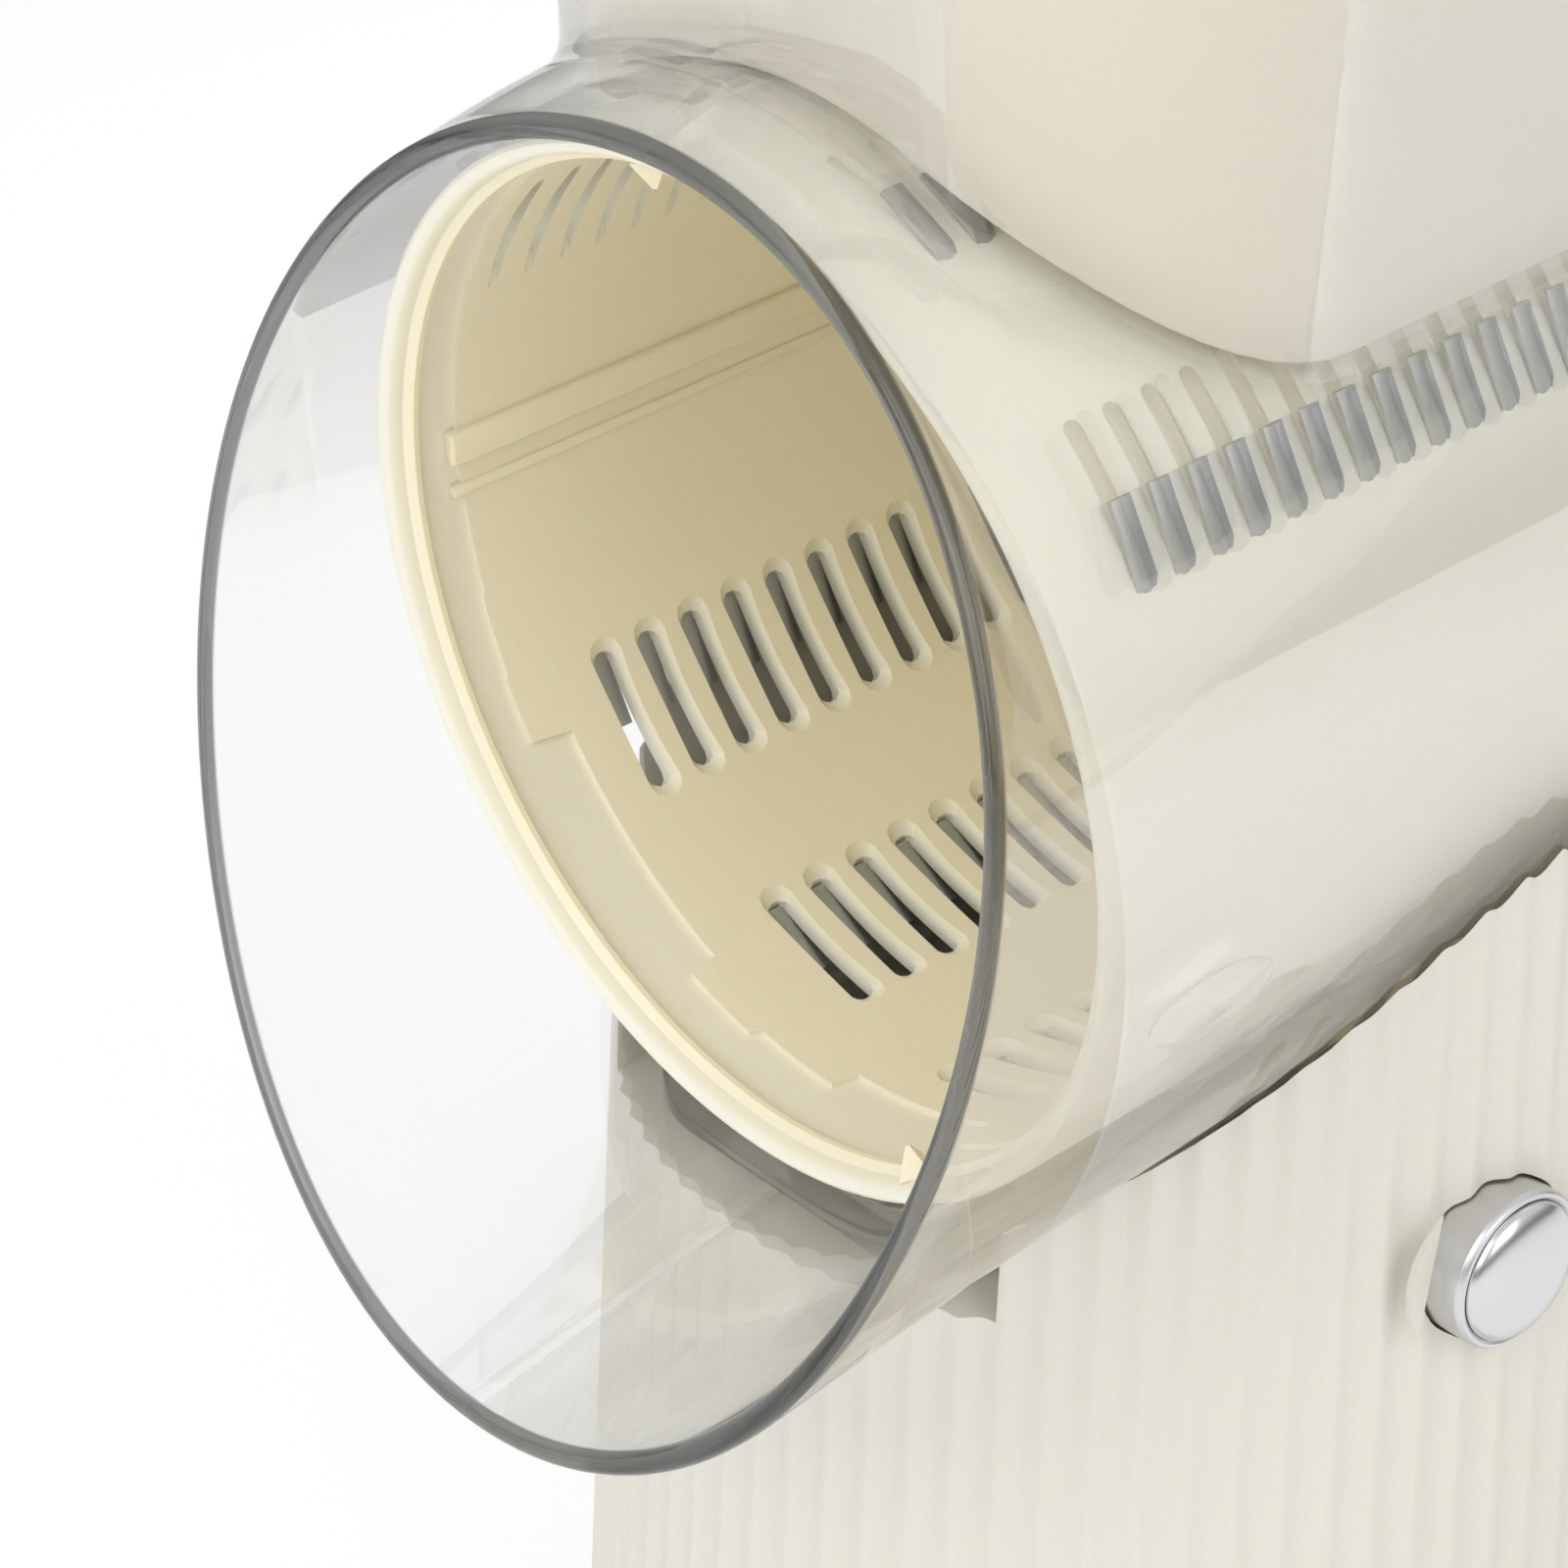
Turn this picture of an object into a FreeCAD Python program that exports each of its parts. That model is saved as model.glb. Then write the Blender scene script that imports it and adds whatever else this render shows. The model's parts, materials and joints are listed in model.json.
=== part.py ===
import FreeCAD, Part
import math
import os
import re

import Sketcher
from FreeCAD import Placement, Rotation, Vector

# A hand-cranked drum grater: a suction-footed pedestal carries a clear housing with a flared
# mouth and a feed chute.  A slotted drum with steel tooth strips turns inside it on a shaft that
# is cranked from behind.  Millimetres.  +Z is up, the mouth faces -Y and the crank is at +Y.
# The origin is at the middle of the pedestal's foot, on the table.

SIZES = (
    # drum and its place
    ("tilt", 5.6, "degrees by which the drum's axis rises towards the crank"),
    ("rim_height", 165.0, "drum's front rim centre above the table"),
    ("rim_ahead", 64.0, "drum's front rim centre ahead of the pedestal's middle"),
    ("drum_radius", 43.0, "outside of the drum"),
    ("drum_wall", 2.0, "drum's wall"),
    ("drum_length", 88.0, "front rim to back of the end disc"),
    ("drum_disc", 3.0, "thickness of the drum's end disc"),
    ("drum_gap", 2.3, "drum to housing, round it"),
    ("lip_round", 0.8, "rounding of the drum's front lip"),
    # teeth and slots
    ("rows_per_half", 4.0, "tooth rows on each half of the drum"),
    ("row_step", 36.0, "degrees from row to row"),
    ("row_start", 26.0, "degrees of the first slot's root above +X"),
    ("close_teeth", 20.0, "teeth in a row of the first half, where they stand closer"),
    ("close_pitch", 3.61, "tooth to tooth along the drum, first half"),
    ("close_first", 9.1, "first tooth's middle behind the front rim, first half"),
    ("wide_teeth", 13.0, "teeth in a row of the other half"),
    ("wide_pitch", 4.75, "tooth to tooth along the drum, other half"),
    ("wide_first", 16.1, "first tooth's middle behind the front rim, other half"),
    ("wide_stagger", 2.4, "how much further back every second row of the other half starts"),
    ("tooth_width", 1.85, "width of a tooth, first half"),
    ("wide_tooth", 2.6, "width of a tooth, other half"),
    ("tooth_length", 6.6, "length of a tooth round the drum"),
    ("tooth_lift", 0.9, "tooth's middle plane above the strip's"),
    ("strip_band", 4.6, "width of the strip that lies in the wall"),
    ("strip_thick", 0.5, "thickness of the tooth strip"),
    ("slot_length", 12.8, "length of a slot round the drum"),
    ("slot_width", 1.55, "width of a slot, first half"),
    ("wide_slot", 2.3, "width of a slot, other half"),
    # clear housing
    ("housing_wall", 2.0, "housing wall"),
    ("back_gap", 1.5, "drum's end disc to the housing's back wall"),
    ("back_wall", 2.5, "housing's back wall"),
    ("hood_root", 6.0, "where the mouth starts to flare, behind the rim"),
    ("hood_reach", 15.7, "mouth centre ahead of the drum's rim centre"),
    ("hood_drop", 4.1, "mouth centre below the drum's rim centre"),
    ("hood_lean", 11.4, "degrees by which the mouth's plane leans back"),
    ("hood_flare", 1.6, "mean radius of the mouth's outline beyond the tube's outside"),
    ("hood_oval", 1.95, "how much taller than wide, as a cosine of twice the angle"),
    ("hood_egg", 0.98, "how much fuller below, as a cosine of three times the angle"),
    ("chute_back", 3.8, "chute's front face behind the rim"),
    ("chute_side", 8.3, "chute's side within the tube's outside, at the draft's level"),
    ("chute_depth", 80.0, "chute along Y"),
    ("chute_corner", 25.0, "chute's corner radius"),
    ("chute_root", 15.0, "chute's lower end above the rim centre"),
    ("chute_top", 75.0, "chute's upper end above the rim centre"),
    ("chute_draft", 1.5, "degrees of draft on each side"),
    ("draft_level", 45.0, "height above the rim centre at which the chute has its stated size"),
    ("rail_half", 20.5, "half the width of the housing's foot rail"),
    ("rail_drop", 1.5, "rail's underside below the housing's tube"),
    ("rail_front", 1.7, "rail's front end behind the rim"),
    ("rail_round", 9.0, "rail's front corner radius"),
    # pedestal
    ("pedestal_top", 162.0, "top of the column"),
    ("pedestal_foot", 1.5, "lower edge of the column above the table"),
    ("half_top", 45.0, "half-width of the column at its top"),
    ("half_foot", 53.0, "half-width of the column at its foot"),
    ("column_straight", 30.0, "straight run of the column's plan"),
    ("shell_wall", 2.5, "pedestal wall"),
    ("seat_gap", 0.3, "housing to pedestal"),
    ("channel_half", 24.0, "half the width of the channel for the rail"),
    ("head_length", 30.0, "round head behind the housing, along the axis"),
    ("cover_thick", 3.0, "rear cover"),
    ("fit_gap", 0.4, "loose fit between still pieces"),
    # base, suction and lever
    ("plate_low", 10.0, "underside of the base plate"),
    ("plate_thick", 3.0, "base plate"),
    ("pad_radius", 6.0, "foot pads"),
    ("cup_radius", 44.0, "suction cup"),
    ("cup_height", 6.6, "suction cup's middle"),
    ("stem_radius", 4.0, "suction stem"),
    ("stem_lift", 3.0, "lift of the stem"),
    ("shaft_height", 32.0, "lever shaft above the table"),
    ("shaft_radius", 4.0, "lever shaft"),
    ("cam_radius", 7.5, "eccentric on the lever shaft"),
    ("lever_length", 46.0, "lever shaft to the end of the lever"),
    ("lever_thick", 6.0, "lever"),
    # button and latch
    ("button_radius", 6.85, "release button"),
    ("button_back", 41.0, "button's axis behind the rim"),
    ("button_drop", 45.0, "button's axis below the rim centre"),
    ("button_proud", 4.0, "button's crown outside the column"),
    ("button_travel", 3.0, "travel of the button"),
    # drive
    ("hex_flats", 12.0, "drive hexagon across flats"),
    ("hex_length", 10.0, "drive hexagon along the axis"),
    ("drive_radius", 6.0, "drive shaft"),
    ("running_fit", 0.05, "radial clearance of a turning fit"),
    ("bush_wall", 3.0, "wall of the bushes"),
    ("crank_throw", 88.0, "drum axis to knob axis"),
    ("crank_thick", 8.0, "crank arm"),
    ("crank_hub", 14.0, "radius of the crank's hub"),
    ("crank_tip", 10.0, "radius of the crank's outer end"),
    ("knob_length", 46.0, "knob"),
    ("knob_radius", 13.0, "knob"),
    ("spindle_radius", 4.0, "knob spindle"),
    # pusher
    ("pusher_gap", 0.8, "pusher to chute"),
    ("pusher_wall", 2.2, "pusher wall"),
    ("pusher_clear", 2.5, "pusher's underside above the drum"),
    ("cap_height", 7.0, "pusher's cap"),
    ("grip_height", 16.0, "grip on the pusher's cap"),
)

doc = FreeCAD.newDocument("drum_grater")
sheet = doc.addObject("Spreadsheet::Sheet", "dims")
for row, (alias, value, note) in enumerate(SIZES, start=1):
    sheet.set(f"A{row}", alias)
    sheet.set(f"B{row}", str(value))
    sheet.set(f"C{row}", note)
    sheet.setAlias(f"B{row}", alias)
doc.recompute()

NODES = []
ALIASES = {alias for alias, _value, _note in SIZES}


def dim(alias):
    """The value of one driving dimension."""
    return float(getattr(sheet, alias))


def formula(text):
    """An expression on the sheet's cells, from one that uses their bare aliases."""
    return re.sub(r"[a-z_]+", lambda found: sheet_cell(found.group()), text)


def sheet_cell(word):
    """A cell's full name, or the word itself where it isn't an alias."""
    return f"dims.{word}" if word in ALIASES else word


def worth(text):
    """The value of such a formula."""
    return float(sheet.evalExpression(formula(text)))


def node(thing, label):
    """Names a finished sub-part and puts it on the list of those to be written."""
    thing.Label = label
    NODES.append(thing)
    return thing


# ---------------------------------------------------------------- places

X_AXIS = Vector(1, 0, 0)
Y_AXIS = Vector(0, 1, 0)
RIM = Vector(0, -dim("rim_ahead"), dim("rim_height"))
DRUM = Placement(RIM, Rotation(X_AXIS, dim("tilt")))


def on_axis(along, across=0.0, above=0.0):
    """A place in the drum's frame whose Z runs along the drum's axis, towards the crank."""
    return DRUM * Placement(Vector(across, along, above), Rotation(X_AXIS, -90))


def upright(x, y, z):
    """An unturned place."""
    return Placement(Vector(x, y, z), Rotation())


def along_x(x, y, z):
    """A place whose Z runs along +X."""
    return Placement(Vector(x, y, z), Rotation(Y_AXIS, 90))


def world_height(along, above):
    """Height above the table of a point given in the drum's frame."""
    return DRUM.multVec(Vector(0, along, above)).z


# ---------------------------------------------------------------- solids

def cylinder(radius, length, place):
    """A Part cylinder whose radius and length are formulas of the sheet."""
    thing = doc.addObject("Part::Cylinder", "cylinder")
    thing.setExpression("Radius", formula(radius))
    thing.setExpression("Height", formula(length))
    thing.Placement = place
    return thing


def box(size_x, size_y, size_z, place):
    """A Part box whose sides are formulas of the sheet."""
    thing = doc.addObject("Part::Box", "box")
    thing.setExpression("Length", formula(size_x))
    thing.setExpression("Width", formula(size_y))
    thing.setExpression("Height", formula(size_z))
    thing.Placement = place
    return thing


def loft(sections, name="loft"):
    """A solid with straight sides through closed sections."""
    thing = doc.addObject("Part::Feature", name)
    thing.Shape = Part.makeLoft(sections, True, True)
    return thing


def fuse(*things):
    """The union of several solids."""
    thing = doc.addObject("Part::MultiFuse", "fuse")
    thing.Shapes = list(things)
    thing.Refine = True
    return thing


def cut(base, *tools):
    """The base less every tool."""
    thing = doc.addObject("Part::Cut", "cut")
    thing.Base = base
    thing.Tool = tools[0] if len(tools) == 1 else fuse(*tools)
    thing.Refine = True
    return thing


def carve(base, *tools):
    """The base less every tool, one cut after another."""
    for tool in tools:
        base = cut(base, tool)
    return base


def origin_plane(body, role):
    """One of the body's own origin planes."""
    return next(plane for plane in body.Origin.OriginFeatures if plane.Role == role)


def outline_sketch(body, role, corners):
    """A closed outline of straight edges whose corners are pairs of formulas."""
    sketch = body.newObject("Sketcher::SketchObject", "outline")
    sketch.AttachmentSupport = (origin_plane(body, role), "")
    sketch.MapMode = "FlatFace"
    count = len(corners)
    values = [(worth(across), worth(up)) for across, up in corners]
    for index in range(count):
        start = Vector(*values[index], 0)
        end = Vector(*values[(index + 1) % count], 0)
        sketch.addGeometry(Part.LineSegment(start, end))
    for index in range(count):
        sketch.addConstraint(Sketcher.Constraint("Coincident", index, 2, (index + 1) % count, 1))
    for index, corner in enumerate(corners):
        for kind, value, text in zip(("DistanceX", "DistanceY"), values[index], corner):
            number = sketch.addConstraint(Sketcher.Constraint(kind, -1, 1, index, 1, value))
            sketch.setExpression(f"Constraints[{number}]", formula(text))
    return sketch


def turned(corners, place):
    """A turned piece: corners are (radius, height) formulas, turned about the place's Z."""
    body = doc.addObject("PartDesign::Body", "turned")
    sketch = outline_sketch(body, "XZ_Plane", corners)
    turn = body.newObject("PartDesign::Revolution", "turn")
    turn.Profile = sketch
    turn.ReferenceAxis = (sketch, ["V_Axis"])
    turn.Angle = 360
    body.Placement = place
    return body


def rounded_wire(half_x, y_front, y_back, corner, z):
    """A rounded rectangle, flat at height z."""
    corner = min(corner, 0.98 * half_x, 0.49 * (y_back - y_front))
    inner_x = half_x - corner
    low = y_front + corner
    high = y_back - corner
    turn = corner * math.sqrt(0.5)
    edges = []
    centres = ((inner_x, low), (inner_x, high), (-inner_x, high), (-inner_x, low))
    ways = ((1, -1), (1, 1), (-1, 1), (-1, -1))
    points = []
    for (cx, cy), (wx, wy) in zip(centres, ways):
        side = Vector(cx + wx * corner, cy, z)
        middle = Vector(cx + wx * turn, cy + wy * turn, z)
        end = Vector(cx, cy + wy * corner, z)
        points.append((side, middle, end) if wx * wy > 0 else (end, middle, side))
    for index, (start, middle, end) in enumerate(points):
        edges.append(Part.Arc(start, middle, end).toShape())
        edges.append(Part.makeLine(end, points[(index + 1) % 4][0]))
    return Part.Wire(edges)


def stadium_stack(inset, low, high):
    """The column's solid between two heights, moved in by a wall."""
    return loft([stadium_plan(inset, low), stadium_plan(inset, high)], "column")


def half_at(z):
    """Half-width of the column at height z."""
    share = (z - dim("pedestal_foot")) / (dim("pedestal_top") - dim("pedestal_foot"))
    return dim("half_foot") + share * (dim("half_top") - dim("half_foot"))


def stadium_plan(inset, z):
    """The column's plan at height z, moved in by a wall."""
    half = half_at(z) - inset
    run = dim("column_straight") / 2
    edges = []
    corners = [Vector(half, -run, z), Vector(half, run, z), Vector(-half, run, z)]
    corners.append(Vector(-half, -run, z))
    back = Vector(0, run + half, z)
    front = Vector(0, -run - half, z)
    edges.append(Part.makeLine(corners[0], corners[1]))
    edges.append(Part.Arc(corners[1], back, corners[2]).toShape())
    edges.append(Part.makeLine(corners[2], corners[3]))
    edges.append(Part.Arc(corners[3], front, corners[0]).toShape())
    return Part.Wire(edges)


# ---------------------------------------------------------------- shared lengths

HOUSING_OUT = "drum_radius + drum_gap + housing_wall"
HOUSING_IN = "drum_radius + drum_gap"
BACK_INSIDE = "drum_length + back_gap"
HEAD_FRONT = "drum_length + back_gap + back_wall + fit_gap"
HEAD_BACK = f"{HEAD_FRONT} + head_length"
SADDLE = f"{HOUSING_OUT} + seat_gap"
RAIL_LOW = f"{HOUSING_OUT} + rail_drop"
CHANNEL_LOW = f"{RAIL_LOW} + fit_gap"
BUSH_BORE = "drive_radius + running_fit"
BUSH_OUT = f"{BUSH_BORE} + bush_wall"
MOUTH_MEAN = worth(f"{HOUSING_OUT} + hood_flare")
CHUTE_HALF = worth(f"{HOUSING_OUT} - chute_side")
TOOTH_BITE = 1.6
TOOTH_TOP = world_height(dim("button_back"), -worth(f"{RAIL_LOW} - {TOOTH_BITE}"))
POCKET_CLEAR = 4.0
RING_POINTS = 24
CRANK_GAP = 3.0
STRIP_SINK = 0.9
PAD_X = 22.0
PAD_Y = 50.0


# ---------------------------------------------------------------- pedestal

BOSS_RADIUS = 5.0
BOSS_HEIGHT = 28.0
BOSS_BITE = 0.5
BOSS_X = dim("half_foot") - dim("shell_wall") - BOSS_RADIUS + BOSS_BITE
BOSS_Y = dim("column_straight") / 2
PLATE_TOP = dim("plate_low") + dim("plate_thick")
PLATE_GAP = 0.3
BUTTON_Y = dim("button_back") - dim("rim_ahead")
BUTTON_Z = dim("rim_height") - dim("button_drop")
HEAD_SCREWS = [45 + 90 * turn for turn in range(4)]
HEAD_BOSS = 7.0
HEAD_BOSS_INSET = 6.0
CUT_AHEAD = 60.0


def column_face_x(y, z):
    """Where the column's +X side stands at a given y and z."""
    beyond = max(0.0, abs(y) - dim("column_straight") / 2)
    return math.sqrt(half_at(z) ** 2 - beyond ** 2)


BUTTON_FACE = column_face_x(BUTTON_Y, BUTTON_Z)
BUTTON_DEEP = 8.4
BUTTON_INNER = BUTTON_FACE - BUTTON_DEEP
WEB_THICK = 2.5
STOP_THICK = 2.4
SPRING_ROOM = 6.3
STOP_X = BUTTON_INNER - WEB_THICK - SPRING_ROOM - STOP_THICK
LATCH_HALF = 3.0
LATCH_GAP = 0.6
LATCH_LOW = dim("button_travel") + LATCH_HALF + LATCH_GAP
LATCH_ROOM = f"button_travel + {2 * (LATCH_HALF + LATCH_GAP)}"
SECTIONS_PER_TURN = 16
WIRE_SIDES = 10


def spots():
    """The four corners where the base plate's screws stand."""
    return [(side * BOSS_X, end * BOSS_Y) for side in (-1, 1) for end in (-1, 1)]


def head_spots():
    """Across and above, in the drum's frame, of the rear cover's screws."""
    reach = worth(f"{HOUSING_OUT} - shell_wall") - HEAD_BOSS_INSET
    turns = [math.radians(turn) for turn in HEAD_SCREWS]
    return [(reach * math.cos(turn), reach * math.sin(turn)) for turn in turns]


def make_pedestal():
    """The fluted column's shell with its saddle, rail channel, head and bosses."""
    low = dim("pedestal_foot")
    high = dim("pedestal_top")
    column = stadium_stack(0.0, low, high)
    head = cylinder(HOUSING_OUT, "head_length", on_axis(worth(HEAD_FRONT)))
    outside = fuse(column, head)
    wall = dim("shell_wall")
    hollow = stadium_stack(wall, low - 1.0, high - wall - 1.5)
    saddle_skin = cylinder(f"{SADDLE} + shell_wall", f"{HEAD_FRONT} + shell_wall + {CUT_AHEAD}",
                           on_axis(-CUT_AHEAD))
    skin_low = worth(f"{CHANNEL_LOW} + shell_wall")
    channel_skin = box("2 * channel_half + 2 * shell_wall", f"{HEAD_FRONT} + shell_wall + {CUT_AHEAD}",
                       f"{CHANNEL_LOW} + shell_wall",
                       DRUM * upright(-dim("channel_half") - wall, -CUT_AHEAD, -skin_low))
    head_hollow = cylinder(f"{HOUSING_OUT} - shell_wall", "head_length + 5",
                           on_axis(worth(f"{HEAD_FRONT} + shell_wall")))
    shell = cut(outside, cut(hollow, saddle_skin, channel_skin), head_hollow)
    head_bosses = []
    for across, above in head_spots():
        head_bosses.append(cylinder(str(HEAD_BOSS), "head_length - cover_thick - 0.5",
                                    on_axis(worth(HEAD_FRONT), across, above)))
    bosses = [cylinder(str(BOSS_RADIUS), str(BOSS_HEIGHT), upright(x, y, PLATE_TOP + PLATE_GAP))
              for x, y in spots()]
    column_limit = stadium_stack(wall / 2, low, high - wall)
    head_limit = cylinder(f"{HOUSING_OUT} - 1", "head_length", on_axis(worth(HEAD_FRONT)))
    inner = doc.addObject("Part::MultiCommon", "inner")
    inner.Shapes = [fuse(*bosses), column_limit]
    head_inner = doc.addObject("Part::MultiCommon", "head_inner")
    head_inner.Shapes = [fuse(*head_bosses), head_limit]
    sleeve_x = BUTTON_INNER + 0.5
    sleeve = cylinder("button_radius + 2.6", "7.5", along_x(sleeve_x, BUTTON_Y, BUTTON_Z))
    stop = box(str(STOP_THICK), "14", "16", upright(STOP_X, BUTTON_Y - 7, BUTTON_Z - 8))
    body = fuse(shell, inner, head_inner, sleeve, stop)
    saddle = cylinder(SADDLE, f"{HEAD_FRONT} + {CUT_AHEAD}", on_axis(-CUT_AHEAD))
    channel = box("2 * channel_half", f"{HEAD_FRONT} + {CUT_AHEAD}", CHANNEL_LOW,
                  DRUM * upright(-dim("channel_half"), -CUT_AHEAD, -worth(CHANNEL_LOW)))
    tools = [saddle, channel]
    tools.append(cylinder(f"{BUSH_OUT} + 0.02", "10", on_axis(worth(HEAD_FRONT) - 3)))
    tools.append(cylinder("button_radius + 0.25", "40", along_x(sleeve_x - 5, BUTTON_Y, BUTTON_Z)))
    tools.append(cylinder("shaft_radius + 0.5", "20", along_x(dim("half_foot") - 10, 0,
                                                              dim("shaft_height"))))
    tools += [cylinder("1.6", "20", upright(x, y, PLATE_TOP)) for x, y in spots()]
    for across, above in head_spots():
        tools.append(cylinder("1.3", "14", on_axis(worth(HEAD_BACK) - 15, across, above)))
    slot_low = BUTTON_Z - 8
    tools.append(box(LATCH_ROOM, "8", str(TOOTH_TOP + 10 - slot_low),
                     upright(-LATCH_LOW, BUTTON_Y - 4, slot_low)))
    return node(cut(body, *tools), "pedestal_shell")


def make_base():
    """Base plate with the shaft's two lugs, its screws and the foot pads."""
    plate_half = half_at(PLATE_TOP) - dim("shell_wall") - dim("fit_gap") - 0.3
    run = dim("column_straight")
    middle = box(str(2 * plate_half), "column_straight", "plate_thick",
                 upright(-plate_half, -run / 2, dim("plate_low")))
    ends = [cylinder(str(plate_half), "plate_thick", upright(0, end * run / 2, dim("plate_low")))
            for end in (-1, 1)]
    lugs = [box("4", "16", "shaft_height + shaft_radius + 5 - plate_low",
                upright(x, -8, dim("plate_low"))) for x in (-20, 16)]
    tools = [cylinder("stem_radius + 0.4", "plate_thick + 2", upright(0, 0, dim("plate_low") - 1))]
    tools.append(cylinder("shaft_radius + running_fit", "60", along_x(-30, 0, dim("shaft_height"))))
    tools += [cylinder("2.2", "plate_thick + 2", upright(x, y, dim("plate_low") - 1))
              for x, y in spots()]
    node(cut(fuse(middle, *ends, *lugs), *tools), "base_plate")
    screws = []
    for x, y in spots():
        screws.append(cylinder("3.6", "2.2", upright(x, y, dim("plate_low") - 2.2)))
        screws.append(cylinder("1.6", "plate_thick + 12", upright(x, y, dim("plate_low") - 0.1)))
    node(fuse(*screws), "base_screws")
    pads = []
    for side, end in ((-1, -1), (1, -1), (1, 1), (-1, 1)):
        pads.append(cylinder("pad_radius", "plate_low", upright(side * PAD_X, end * PAD_Y, 0)))
    node(fuse(*pads), "foot_pads")


def make_suction():
    """Cup, stem with its yoke, eccentric shaft, lever and what holds them."""
    cup = turned([("0", "0"), ("cup_radius", "0"), ("cup_radius", "1.6"), ("12", "6"),
                  ("8", "cup_height"), ("0", "cup_height")], upright(0, 0, 0))
    node(cup, "suction_cup")
    height = dim("shaft_height")
    cam_low = height - dim("stem_lift")
    window_low = cam_low - dim("cam_radius") - 0.9
    window = dim("cam_radius") * 2 + 1.5
    rod = cylinder("stem_radius", "shaft_height - 14 - cup_height",
                   upright(0, 0, dim("cup_height")))
    yoke = box("7", str(2 * (dim("cam_radius") + dim("stem_lift") + 4.6)), str(window + 7),
               upright(-3.5, -dim("cam_radius") - dim("stem_lift") - 4.6, window_low - 3.5))
    opening = box("9", str(2 * (dim("cam_radius") + dim("stem_lift") + 0.6)), str(window),
                  upright(-4.5, -dim("cam_radius") - dim("stem_lift") - 0.6, window_low))
    node(fuse(rod, cut(yoke, opening)), "suction_stem")
    shaft_end = dim("half_foot") + 9.0
    shaft = cylinder("shaft_radius", str(shaft_end + 25), along_x(-25, 0, height))
    cam = cylinder("cam_radius", "9", along_x(-4.5, 0, cam_low))
    groove = cut(cylinder("shaft_radius + 1", "1.2", along_x(-22.6, 0, height)),
                 cylinder("shaft_radius - 0.8", "1.2", along_x(-22.6, 0, height)))
    bore = cylinder("1.5", "10", along_x(shaft_end - 10, 0, height))
    node(cut(fuse(shaft, cam), groove, bore), "lever_shaft")
    clip = cut(cylinder("shaft_radius + 2.5", "1", along_x(-22.5, 0, height)),
               cylinder("shaft_radius - 0.8", "1", along_x(-22.5, 0, height)),
               box("2", "2.4", "9", upright(-23, -1.2, height)))
    node(clip, "lever_clip")
    hub_x = dim("half_foot") + 0.6
    hub = cylinder("shaft_radius + 6", "lever_thick + 2", along_x(hub_x, 0, height))
    arm = box("lever_thick", "lever_length - 7", "14",
              upright(hub_x + 2, -dim("lever_length") + 7, height - 7))
    tip = cylinder("7", "lever_thick", along_x(hub_x + 2, -dim("lever_length") + 7, height))
    hub_bore = cylinder("shaft_radius", "20", along_x(hub_x - 1, 0, height))
    node(cut(fuse(hub, arm, tip), hub_bore), "suction_lever")
    head_x = max(shaft_end, hub_x + dim("lever_thick") + 2)
    screw = fuse(cylinder("6", "2", along_x(head_x, 0, height)),
                 cylinder("1.5", str(head_x - shaft_end + 9), along_x(shaft_end - 9, 0, height)))
    node(screw, "lever_screw")


def make_latch():
    """Domed release button, its return spring and the latch that it carries."""
    crown = BUTTON_FACE + dim("button_proud")
    back = BUTTON_INNER
    dome = 1.9
    sphere = (dim("button_radius") ** 2 + dome ** 2) / (2 * dome)
    barrel = cylinder("button_radius", str(crown - back), along_x(back, BUTTON_Y, BUTTON_Z))
    ball = doc.addObject("Part::Sphere", "ball")
    ball.Radius = sphere
    ball.Placement = upright(crown - sphere, BUTTON_Y, BUTTON_Z)
    button = doc.addObject("Part::MultiCommon", "button")
    button.Shapes = [barrel, ball]
    node(button, "release_button")
    thick = WEB_THICK
    bar_top = BUTTON_Z - 9.0
    web = box(str(thick), "12", str(BUTTON_Z + 6 - bar_top + 3),
              upright(back - thick, BUTTON_Y - 6, bar_top - 3))
    bar = box(str(back + LATCH_HALF), "10", "3", upright(-LATCH_HALF, BUTTON_Y - 5, bar_top - 3))
    tooth = box(str(2 * LATCH_HALF), "6", str(TOOTH_TOP - bar_top + 1),
                upright(-LATCH_HALF, BUTTON_Y - 3, bar_top - 1))
    node(fuse(web, bar, tooth), "latch_bar")
    spring = coil(4.4, 0.6, STOP_X + STOP_THICK + 0.2, back - thick - 0.2, 3.5)
    node(spring, "button_spring")


def coil(radius, wire, start, end, turns):
    """A compression spring along X, on the button's axis, drawn through ten-sided sections."""
    length = end - start - 2 * wire
    count = int(turns * SECTIONS_PER_TURN)
    corners = [2 * math.pi * corner / WIRE_SIDES for corner in range(WIRE_SIDES)]
    sections = []
    for step in range(count + 1):
        turn = 2 * math.pi * turns * step / count
        outward = Vector(math.cos(turn), math.sin(turn), 0)
        middle = outward * radius + Vector(0, 0, length * step / count)
        ring = [middle + outward * wire * math.cos(corner) + Vector(0, 0, wire * math.sin(corner))
                for corner in corners]
        sections.append(Part.makePolygon(ring + [ring[0]]))
    thing = loft(sections, "coil")
    thing.Placement = along_x(start + wire, BUTTON_Y, BUTTON_Z)
    return thing


# ---------------------------------------------------------------- clear housing

def mouth_outline(inset):
    """Points of the mouth's edge, in the drum's frame."""
    lean = math.radians(dim("hood_lean"))
    upward = Vector(0, math.sin(lean), math.cos(lean))
    middle = Vector(0, -dim("hood_reach"), -dim("hood_drop"))
    unturn = Rotation(X_AXIS, -dim("tilt"))
    points = []
    for step in range(RING_POINTS):
        turn = 2 * math.pi * step / RING_POINTS
        reach = MOUTH_MEAN + dim("hood_oval") * math.cos(2 * turn)
        reach -= dim("hood_egg") * math.cos(3 * turn) + inset
        points.append(unturn.multVec(middle + X_AXIS * reach * math.sin(turn)
                                     + upward * reach * math.cos(turn)))
    return points


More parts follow.
